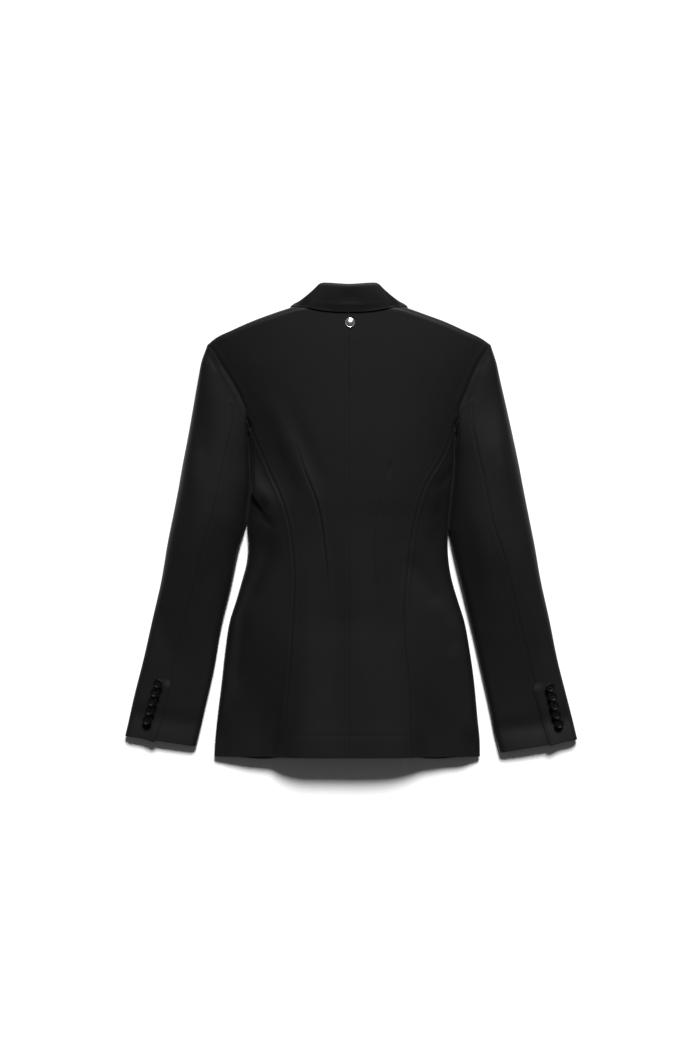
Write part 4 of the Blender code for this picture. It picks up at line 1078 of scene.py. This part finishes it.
def ring_stops(hole):
    """Distances along the armhole where the panels' seams and the sleeve's meet it."""
    half_gap = SEAM_GAP / 2
    fractions = np.array(UPPER_FRACTIONS)
    back_from = hole["underarm"] - PRINCESS_ON_ARMHOLE
    front_from = hole["underarm"] + FRONT_SEAM_ON_ARMHOLE
    back = (back_from - half_gap) * (1 - fractions) + half_gap * fractions
    side = np.linspace(back_from + half_gap, front_from - half_gap, SIDE_STOPS)
    front = (front_from + half_gap) * (1 - fractions) + (hole["reach"][-1] - half_gap) * fractions
    return back, side, front


def ring_share(t, under=False):
    """The share of a closed ring at the fraction t of the way across, on its upper or its under half."""
    share = np.arccos(1 - 2 * np.asarray(t)) / np.pi / 2
    return 1 - share if under else share


def spaced(path, count, centre, crowd, width):
    """Distances along a path for a count of points, closer together near the centre distance."""
    reach = lengths(path)
    dense = np.linspace(0, reach[-1], 400)
    weight = 1 + crowd * np.exp(-(((dense - centre) / width) ** 2))
    share = np.concatenate([[0], np.cumsum((weight[1:] + weight[:-1]) / 2)])
    return np.interp(np.linspace(0, share[-1], count), share, dense)


def sleeve_lines(hole, rings, stops, start, stop, count):
    """A sleeve piece as one line of points on each ring, its first line on the armhole."""
    half_gap = SLEEVE_SEAM_GAP / 2
    total = rings.shape[1]
    stops = np.interp(np.linspace(0, 1, count), np.linspace(0, 1, len(stops)), stops)
    share = (stops - stops[0]) / (stops[-1] - stops[0])
    wrapped = np.clip(stops, stops[0] + half_gap, stops[-1] - half_gap) % hole["reach"][-1]
    lines = [armhole_points(hole, wrapped, False)]
    easing = np.concatenate([STOP_EASE, np.zeros(len(rings))])
    for i in range(1, len(rings)):
        ring = np.vstack([rings[i], rings[i], rings[i][:1]])
        reach = lengths(ring)
        marks = np.arange(len(ring))
        begin = np.interp(start[i] * total, marks, reach) + half_gap
        end = np.interp(stop[i] * total, marks, reach) - half_gap
        fold_at = np.interp(total if start[i] < 1 <= stop[i] else total / 2, marks, reach) - begin
        path = at_lengths(ring, ring, np.linspace(begin, end, 300))
        even = spaced(path, count, fold_at, *SLEEVE_CROWD)
        even = even / even[-1]
        mixed = even * (1 - easing[i]) + share * easing[i]
        lines.append(at_lengths(ring, ring, begin + (end - begin) * mixed))
    return np.array(lines)


def loft(lines, count):
    """A smooth surface through the lines: each point of a line runs on a cubic to the next line."""
    knots = lengths(lines.mean(axis=1))
    points = smooth(np.linspace(0, knots[-1], count), knots, lines)
    points[..., 2] = np.maximum(points[..., 2], 0)
    return points


# %% [markdown]
# The creases in the sleeves are listed too: the pressed elbow seam, the soft bends where the arm
# would be, and the dip above each cuff, where the turned-up hem is stiffer than the cloth above and springs
# away from it. At the cuff the top sleeve laps over the under sleeve as a vent, and hangs a little lower at
# its corner.

# %% The sleeves
SLEEVE_CREASES = {
    "left": [
        ("fold", 18, -1.8, [(-216, 200), (-228, 130), (-238, 60)]),
        ("fold", 16, 1.6, [(-250, 160), (-246, 90), (-256, 10)]),
        ("fold", 16, -1.6, [(-200, 60), (-214, -60), (-240, -170)]),
        ("fold", 6, -1.4, [(-226, 276), (-214, 256), (-202, 226)]),
        ("fold", 20, -1.4, [(-316, -90), (-290, -170), (-258, -250)]),
    ],
    "right": [
        ("fold", 16, -1.6, [(222, 250), (213, 176), (216, 100)]),
        ("fold", 15, 1.6, [(242, 200), (236, 100), (246, 10)]),
        ("fold", 16, -1.8, [(166, 60), (184, -60), (212, -180)]),
        ("fold", 6, -1.4, [(218, 276), (206, 256), (194, 226)]),
        ("fold", 20, 1.4, [(246, 0), (270, -110), (292, -220)]),
    ],
}
ELBOW_CREASE = ("seam", 3.4, 0.3)
CUFF_RISE = {"left": 0.6, "right": 1.3}
CUFF_DIP = {"left": -0.9, "right": -1.3}
CUFF_RISE_LENGTH = 36.0
CUFF_DIP_HALF = 15.0

# Creases lie on the faces that look up, and are weaker on the first rows, at the armhole
CREASED_FACING = (0.2, 0.8)
FIRST_ROWS = 8
FIRST_ROWS_SHARE = 0.25
SLEEVE_ROWS = 250
TOP_SLEEVE_COLUMNS = 66
UNDER_SLEEVE_COLUMNS = 58
VENT_LENGTH = 98.0
VENT_LAP = 4.0
VENT_LIFT = 2.1
VENT_REACH = 20.0
VENT_FADE = 14.0
VENT_CORNER_DROP = 2.6
VENT_CORNER_REACH = (4, 34)
TOUCH_LEVELS = {"left": (7.0, 112.0), "right": (-10.0, 112.0)}
TOUCH_FADE = 10.0
TOUCH_TOP_FADE = 34.0
TOUCH_PRESS = 0.25
TOUCH_REACH = (4, 40)


def elbow_path(side):
    """The elbow seam in plan, from its share of the way across each ring."""
    outer_x, outer_y, inner_x, inner_y, _, seam = np.array(SLEEVES[side], float).T
    x, y = outer_x * (1 - seam) + inner_x * seam, outer_y * (1 - seam) + inner_y * seam
    run_on = 2 * np.array([x[-1], y[-1]]) - np.array([x[-2], y[-2]])
    return np.vstack([np.column_stack([x, y]), run_on])


def distance_from_cuff(points):
    """How far each row of a sleeve piece lies from its hem, along the middle of the rows."""
    steps = np.linalg.norm(np.diff(points.mean(axis=1), axis=0), axis=1)
    return np.concatenate([np.cumsum(steps[::-1])[::-1], [0]])[:, None]


def crease_sleeve(points, inside, side):
    """Moves each point along its normal by the creases at its place, as far as its face looks up."""
    normals = outward_normals(points, inside)
    x, y = points[..., 0], points[..., 1]
    height = crease_height(x, y, SLEEVE_CREASES[side])
    height = height + crease_height(x, y, [(*ELBOW_CREASE, elbow_path(side)[1:])], fade=0)
    height = height + armhole_ridge(x, y, side)
    from_cuff = distance_from_cuff(points)
    height = height + CUFF_RISE[side] * np.clip(1 - from_cuff / CUFF_RISE_LENGTH, 0, 1) ** 1.5
    height = height + CUFF_DIP[side] * np.exp(-(((from_cuff - CUFF_RISE_LENGTH) / CUFF_DIP_HALF) ** 2))
    run = ease(np.arange(len(points)), 0, FIRST_ROWS)[:, None]
    up = ease(normals[..., 2], *CREASED_FACING)
    share = FIRST_ROWS_SHARE + (1 - FIRST_ROWS_SHARE) * run
    return points + normals * (height * up * share)[..., None]


def lap_vent(points, inside):
    """Lifts the last column of the top sleeve over the under sleeve along the vent, its corner lower."""
    normals = outward_normals(points, inside)
    order = points[:, ::-1]
    across = np.cumsum(np.linalg.norm(np.diff(order, axis=1, prepend=order[:, :1]), axis=2), axis=1)
    across = across[:, ::-1]
    from_cuff = distance_from_cuff(points)
    along_vent = 1 - ease(from_cuff, VENT_LENGTH - VENT_FADE, VENT_LENGTH)
    near = (1 - ease(across, 0, VENT_REACH)) * along_vent
    sideways = unit(np.gradient(points, axis=1))
    downward = unit(np.gradient(points, axis=0))
    corner = near * (1 - ease(from_cuff, *VENT_CORNER_REACH))
    moved = points + sideways * (VENT_LAP * near)[..., None] + normals * (VENT_LIFT * near)[..., None]
    return moved + downward * (VENT_CORNER_DROP * corner)[..., None]


def lean_on_body(points, side):
    """Shifts the rows above the waist sideways until the inner fold is pressed into the body's side fold."""
    sign = SIDES[side]
    x, y = points[..., 0], points[..., 1]
    lowest, highest = TOUCH_LEVELS[side]
    gap = sign * (x - body_edge(np.minimum(y, highest + TOUCH_TOP_FADE), side))
    nearest = np.argmin(gap, axis=1)
    rows = np.arange(len(points))
    level = y[rows, nearest]
    share = ease(level, lowest - TOUCH_FADE, lowest)
    share = share * (1 - ease(level, highest, highest + TOUCH_TOP_FADE))
    move = (gap[rows, nearest] + TOUCH_PRESS) * share
    near = 1 - ease(gap - gap[rows, nearest][:, None], *TOUCH_REACH)
    points[..., 0] -= sign * move[:, None] * near
    return points


def sleeve_pieces(side, hole):
    """The grids of the top sleeve and the under sleeve, creased."""
    rings = sleeve_rings(side, hole)
    seam = column(SLEEVES[side], SLEEVE_COLUMNS, "seam")
    over_seam = ring_share(seam)
    under_seam = np.full_like(over_seam, ring_share(UNDER_SEAM, under=True))
    back, across, front = ring_stops(hole)
    whole = hole["reach"][-1]
    top_stops = np.concatenate([front[UNDER_SEAM_STOP:-1], [whole],
                                whole + back[-2:OVER_SEAM_STOP - 1:-1]])
    under_stops = np.concatenate([back[OVER_SEAM_STOP::-1], across[1:-1], front[:UNDER_SEAM_STOP + 1]])
    top = sleeve_lines(hole, rings, top_stops, under_seam, over_seam + 1, TOP_SLEEVE_COLUMNS)
    under = sleeve_lines(hole, rings, under_stops, over_seam, under_seam, UNDER_SLEEVE_COLUMNS)
    inside = loft(rings, SLEEVE_ROWS).mean(axis=1, keepdims=True)
    top = crease_sleeve(loft(top, SLEEVE_ROWS), inside, side)
    under = lean_on_body(crease_sleeve(loft(under, SLEEVE_ROWS), inside, side), side)
    return lap_vent(top, inside), under, inside


for side, hole in HOLES.items():
    top, under, inside = sleeve_pieces(side, hole)
    edges = (SOFT_SEAM_EDGE, FREE_EDGE, SOFT_SEAM_EDGE, PRESSED_EDGE)
    make_cloth("sleeve_top_" + side, top, inside, edges)
    edges = (SOFT_SEAM_EDGE, FREE_EDGE, PRESSED_EDGE, SOFT_SEAM_EDGE)
    make_cloth("sleeve_under_" + side, under, inside, edges)

# %% [markdown]
# The collar is two pieces: a stand that rises from the neck seam, and a fall that turns over it and lies on
# the back. Three lines draw it, the neck seam, the fold and the free edge. The fall swells between fold and
# edge, rolls over at the fold, and has a hollow in its middle.

# %% The drawing of the collar
COLLAR_WALL = 1.8
COLLAR_SWELL = 0.8
COLLAR_CLEAR = 0.7
COLLAR_ON_BACK = 5
STAND_ROWS_KEPT = 9
COLLAR_COLUMNS = ("neck_x", "neck_y", "neck_z", "fold_x", "fold_y", "fold_z",
                  "edge_x", "edge_y", "edge_z")
COLLAR = [
    (0, 338.8, 45, 0, 365.2, 53, 0, 322.2, 49.6),
    (16, 338.7, 45, 16, 366, 52.8, 17, 322.4, 49.6),
    (30, 338.6, 44.5, 31, 367.2, 51.8, 34, 323.8, 49.2),
    (42, 338.4, 43, 44, 366.8, 50, 51, 326.4, 49),
    (53, 338, 40.5, 54, 358.6, 48, 64, 329.6, 48),
    (62, 337.6, 37, 64, 350, 44, 76, 331.6, 42),
    (70, 337.2, 32.5, 74, 342.2, 36, 84, 332.4, 34),
    (76, 336.6, 24.5, 81, 338.2, 23, 88.5, 334, 24.5),
    (77, 334, 15, 81.5, 334, 11, 91, 332, 12),
    (74, 324, 8, 79, 323, 3, 94, 322, 2),
    (70, 306, 6, 75, 305, 0, 99, 303, 0),
    (67, 290, 5.5, 71, 289, 0, 104, 284, 0),
]
COLLAR_CREASES = [
    ("fold", 12, -0.8, [(-26, 350), (0, 345), (22, 351)]),
    ("fold", 3.4, 0.35, [(-72, 340), (-30, 334), (0, 333.5), (30, 334), (66, 340)]),
]
COLLAR_ROWS = 34
COLLAR_CROWD = [(0, 3.0, 0.06), (1, 1.5, 0.06)]
COLLAR_STEPS = 230
COLLAR_MIDDLE = len(COLLAR) - 1
FOLD_ROLL = 2.4


def collar_line(name, steps):
    """One line of the collar from its left front end round the back to its right one, a mirrored half."""
    half = np.column_stack([column(COLLAR, COLLAR_COLUMNS, name + "_" + axis) for axis in "xyz"])
    whole = np.vstack([half[::-1] * np.array([-1, 1, 1]), half[1:]]) + np.array([CENTRE_X, 0, 0])
    return smooth(steps, np.arange(len(whole)).astype(float), whole)


def fall_points():
    """Fold times 1 - t plus edge times t, swelled by the sine of pi t0.8, rolled by a quarter circle."""
    steps = np.linspace(0, 2 * COLLAR_MIDDLE, COLLAR_STEPS)
    fold, edge = collar_line("fold", steps), collar_line("edge", steps)
    t = crowded(COLLAR_ROWS, COLLAR_CROWD)[:, None, None]
    points = fold * (1 - t) + edge * t
    facing = unit(np.cross(edge - fold, np.gradient(fold, axis=0)))
    facing = facing if facing[len(steps) // 2, 2] > 0 else -facing
    points = points + facing * COLLAR_SWELL * np.sin(np.pi * t ** 0.8)
    points[..., 2] = np.maximum(points[..., 2], 0)
    over_back = 1 - ease(np.abs(steps - COLLAR_MIDDLE), COLLAR_ON_BACK, COLLAR_ON_BACK + 1)
    lowest = back_height(points[..., 0], points[..., 1]) + COLLAR_WALL + COLLAR_CLEAR
    points[..., 2] += np.maximum(lowest - points[..., 2], 0) * over_back
    points[..., 2] += crease_height(points[..., 0], points[..., 1], COLLAR_CREASES) * over_back
    width = np.linalg.norm(edge - fold, axis=1)
    roll = FOLD_ROLL * (1 - arc(t[..., 0] * width / (2.2 * FOLD_ROLL)))
    return points - facing * roll[..., None], facing, steps


def stand_points(facing, steps):
    """Neck seam times 1 - t plus a line just under the fold times t, at the steps of the stand."""
    fold, neck = collar_line("fold", steps), collar_line("neck", steps)
    low = fold - facing * (COLLAR_WALL + FOLD_ROLL + SEAM_GAP)
    t = np.linspace(0, 1, COLLAR_ROWS // 2)[:, None, None]
    return neck * (1 - t) + low * t


points, facing, steps = fall_points()
make_cloth("collar_leaf", points, points - facing * 10, (FREE_EDGE,) * 4, COLLAR_WALL)
kept = np.abs(steps - COLLAR_MIDDLE) <= STAND_ROWS_KEPT - 1
points = stand_points(facing[kept], steps[kept])
make_cloth("collar_band", points, points - facing[kept] * 10, (SOFT_SEAM_EDGE,) + (FREE_EDGE,) * 3)

# %% [markdown]
# Every cloth piece stands for its solid and takes the crepe. The
# sizes are measured along the laid piece, without seam allowances: its widest, its longest, and its area.

# %% Dress and place the cloth
STANDS_FOR = {f"{piece}_{side}": f"{node}_{side}" for piece, node in (
    ("back_panel", "back"), ("side_panel", "side"), ("front_panel", "front"), ("lapel_leaf", "lapel"),
    ("sleeve_top", "top_sleeve"), ("sleeve_under", "under_sleeve")) for side in SIDES}
STANDS_FOR.update({"collar_leaf": "collar_fall", "collar_band": "collar_stand"})


def dress(piece, node, material):
    """The finish and body of a piece, and the solid it stands for, which is hidden."""
    piece.data.materials.append(material)
    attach(piece, "root")
    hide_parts(node)


for name, node in STANDS_FOR.items():
    piece = bpy.data.objects[name]
    dress(piece, node, CREPE)

# %% [markdown]
# The buttons are satin-black polyester discs, turned with a rim and a dished face, with four dents for the
# holes. Each is a profile carried round an axis. Its place and its tilt are read from its solid: the middle
# of the points, and the direction in which they spread the least.

# %% Buttons
BUTTON_RING = 64


def turned(outline, segments):
    """A profile of (radius, height) carried round the upright axis, as points and four-cornered faces."""
    outline = np.array(outline, float)
    turns = np.arange(segments) * 2 * np.pi / segments
    radius, height = outline[:, :1], outline[:, 1:]
    points = np.stack([radius * np.cos(turns), radius * np.sin(turns), height + 0 * turns], axis=-1)
    index = np.arange(len(outline) * segments).reshape(len(outline), segments)
    corners = (index[:-1], np.roll(index[:-1], -1, axis=1), np.roll(index[1:], -1, axis=1), index[1:])
    return points.reshape(-1, 3), np.stack(corners, axis=-1).reshape(-1, 4)


def node_axis(name):
    """The middle of a solid's box and the upward direction in which its points spread least."""
    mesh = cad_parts[name].data
    points = np.zeros(len(mesh.vertices) * 3)
    mesh.vertices.foreach_get("co", points)
    points = np.unique(points.reshape(-1, 3).round(7), axis=0) / MM - ORIGIN
    middle = (points.min(axis=0) + points.max(axis=0)) / 2
    axis = np.linalg.svd(points - points.mean(axis=0), full_matrices=False)[2][2]
    return middle, axis if axis[2] > 0 else -axis


def placed(points, centre, axis):
    """Points of an upright shape, turned to stand along the axis at the centre."""
    side = unit(np.cross([0.0, 1.0, 0.0], axis))
    return centre + points @ np.array([side, np.cross(axis, side), axis])


def close_poles(piece):
    """Joins the points that lie on the axis, so a turned shape is closed at its poles."""
    shape = bmesh.new()
    shape.from_mesh(piece.data)
    bmesh.ops.remove_doubles(shape, verts=shape.verts, dist=0.02 * MM)
    bmesh.ops.recalc_face_normals(shape, faces=shape.faces)
    shape.to_mesh(piece.data)
    shape.free()
    piece.data.shade_smooth()


def button_outline(radius, thick):
    """Flat back, half-round rim, and a dished face that falls to the middle."""
    bend = np.linspace(-np.pi / 2, np.pi * 0.62, 14)
    rim = np.column_stack([radius - thick * 0.42 * (1 - np.cos(bend)),
                           thick * (0.5 + 0.5 * np.sin(bend))])
    dish = np.linspace(rim[-1, 0] - 0.15, 0, 26)
    fall = rim[-1, 1] - 0.34 * thick * ease(dish[0] - dish, 0, 1.8)
    fall = fall + 0.06 * thick * (dish / radius) ** 2
    return np.vstack([[(0, 0)], rim, np.column_stack([dish, fall])])


def button_holes(points, radius, thick):
    """Four dents in the face, each a bell, a fifth of the radius off the middle each way."""
    offset = 0.2 * radius
    face = points[:, 2] > 0.4 * thick
    for sx in (-1, 1):
        for sy in (-1, 1):
            away = np.hypot(points[:, 0] - sx * offset, points[:, 1] - sy * offset)
            points[:, 2] -= face * 0.32 * thick * np.exp(-((away / (0.09 * radius)) ** 4))
    return points


def make_button(name, node, radius, thick, material):
    """A button on its solid's place and tilt."""
    points, quads = turned(button_outline(radius, thick), BUTTON_RING)
    points = button_holes(points, radius, thick)
    points[:, 2] -= thick * 0.5
    piece = make_piece(name, placed(points, *node_axis(node)), quads)
    close_poles(piece)
    dress(piece, node, material)


def satin_black():
    """Polyester button stock: moulded, then tumbled to a satin gloss, with faint streaks in the sheet."""
    material, tree = new_material("satin_black_polyester")
    place = add(tree, "ShaderNodeTexCoord").outputs["Object"]
    streaks = noise(tree, place, 2.5, 3.0)
    colour = mix(tree, "RGBA", streaks, linear("#040404"), linear("#0a0a0b"))
    cover(tree, {"IOR": 1.5, "Specular IOR Level": 0.06},
          {"Base Color": colour, "Roughness": spread(tree, streaks, 0.22, 0.28)})
    return material


SATIN = satin_black()
CUFF_BUTTON_RADIUS, CUFF_BUTTON_THICK = 7.4, 2.2
FRONT_BUTTON_THICK = 2.4
CUFF_BUTTONS = [f"{side}_{k}" for side in SIDES for k in range(1, 6)]
for name in CUFF_BUTTONS:
    make_button("satin_button_" + name, "cuff_button_" + name, CUFF_BUTTON_RADIUS, CUFF_BUTTON_THICK, SATIN)
make_button("waist_button", "front_button", FRONT_BUTTON_RADIUS, FRONT_BUTTON_THICK, SATIN)
print("buttons:", len(CUFF_BUTTONS) + 1)

# %% [markdown]
# A plain round silver stud sits on the centre seam just below the collar, its back pressed into the cloth.
# It is pressed sheet metal: a low dome with a rolled rim.

# %% The stud
STUD_RADIUS = 7.6
STUD_THICK = 3.6


def polished_silver():
    """Silver plate: bright, with the faint waviness of a handled polish."""
    material, tree = new_material("polished_silver_plate")
    place = add(tree, "ShaderNodeTexCoord").outputs["Object"]
    wave = noise(tree, place, 3.0, 2.0)
    colour = mix(tree, "RGBA", wave, linear("#d8d8da"), linear("#efeff0"))
    cover(tree, {"Metallic": 1.0}, {"Base Color": colour, "Roughness": spread(tree, wave, 0.2, 0.34),
                                    "Normal": bump(tree, wave, 0.2, 0.1)})
    return material


def make_stud():
    """Rim as a half circle, then a dome: height is the square root of 1 - r2."""
    bend = np.linspace(-np.pi / 2, np.pi * 0.7, 16)
    rim = np.column_stack([STUD_RADIUS - 0.8 + 0.8 * np.cos(bend), 0.8 + 0.8 * np.sin(bend)])
    r = np.linspace(rim[-1, 0] - 0.1, 0, 24)
    dome = np.column_stack([r, rim[-1, 1] + (STUD_THICK * 1.2 - 1.7) * np.sqrt(1 - (r / r[0]) ** 2)])
    points, quads = turned(np.vstack([[(0, 0)], rim, dome]), 72)
    points[:, 2] -= STUD_THICK * 0.6
    piece = make_piece("silver_stud", placed(points, *node_axis("neck_stud")), quads)
    close_poles(piece)
    dress(piece, "neck_stud", polished_silver())


make_stud()

# %% [markdown]
# The jacket is photographed on white paper from straight above. One soft light stands beyond the collar, 43
# degrees up, so hem and cuffs throw a short shadow with a soft edge, and only a little light comes from all
# round.

# %% Floor, light and camera
KEY_ELEVATION = np.radians(43)
KEY_TURN = np.radians(8)
KEY_ANGLE = np.radians(20)
KEY_STRENGTH = 5.6
FILL_STRENGTH = 0.075
FRAME_HEIGHT = 1623.3 * MM
FRAME_CENTRE = np.array([-1.9, -4.6, 0.0])
FOCUS_RISE = 15 * MM
LENS = 100.0
SENSOR = 36.0


def white_paper():
    """Photographer's paper roll: matt, almost white, with a fine tooth."""
    material, tree = new_material("white_paper")
    tooth = noise(tree, add(tree, "ShaderNodeTexCoord").outputs["Object"], 0.9, 2.0)
    cover(tree, {"Base Color": linear("#f4f4f4"), "Roughness": 0.9},
          {"Normal": bump(tree, tooth, 0.04, 0.05)})
    return material


def make_floor(half=14.0):
    """A large flat sheet under the jacket, just below its lowest face."""
    low = cad_box[0].z - 0.3 * MM
    corners = [(-half, -half, low), (half, -half, low), (half, half, low), (-half, half, low)]
    mesh = bpy.data.meshes.new("floor")
    mesh.from_pydata(corners, [], [(0, 1, 2, 3)])
    mesh.materials.append(white_paper())
    new_object("floor", mesh)


def make_light():
    """A wide soft sun from the head side, a little to the right, and a dim even surround."""
    lamp = bpy.data.lights.new("soft_key", "SUN")
    lamp.energy = KEY_STRENGTH
    lamp.angle = KEY_ANGLE
    level = np.cos(KEY_ELEVATION)
    toward = Vector((-level * np.sin(KEY_TURN), -level * np.cos(KEY_TURN), -np.sin(KEY_ELEVATION)))
    new_object("soft_key", lamp).rotation_euler = toward.to_track_quat("-Z", "Y").to_euler()
    world = bpy.data.worlds.new("surround")
    world.use_nodes = True
    world.node_tree.nodes["Background"].inputs["Color"].default_value = (1, 1, 1, 1)
    world.node_tree.nodes["Background"].inputs["Strength"].default_value = FILL_STRENGTH
    bpy.context.scene.world = world


def make_camera():
    """Straight above: the distance is half the frame's height over the tangent of half the view."""
    lens = bpy.data.cameras.new("from_above")
    lens.lens = LENS
    lens.sensor_width = SENSOR
    distance = FRAME_HEIGHT / 2 / (SENSOR / 2 / LENS)
    camera = new_object("from_above", lens)
    camera.location = Vector((FRAME_CENTRE + ORIGIN) * MM) + Vector((0, 0, distance + FOCUS_RISE))
    bpy.context.scene.camera = camera


make_floor()
make_light()
make_camera()
bpy.context.scene.view_settings.view_transform = "Standard"

# %% [markdown]
# Last, the view layer is brought up to date.

# %% Update
bpy.context.view_layer.update()
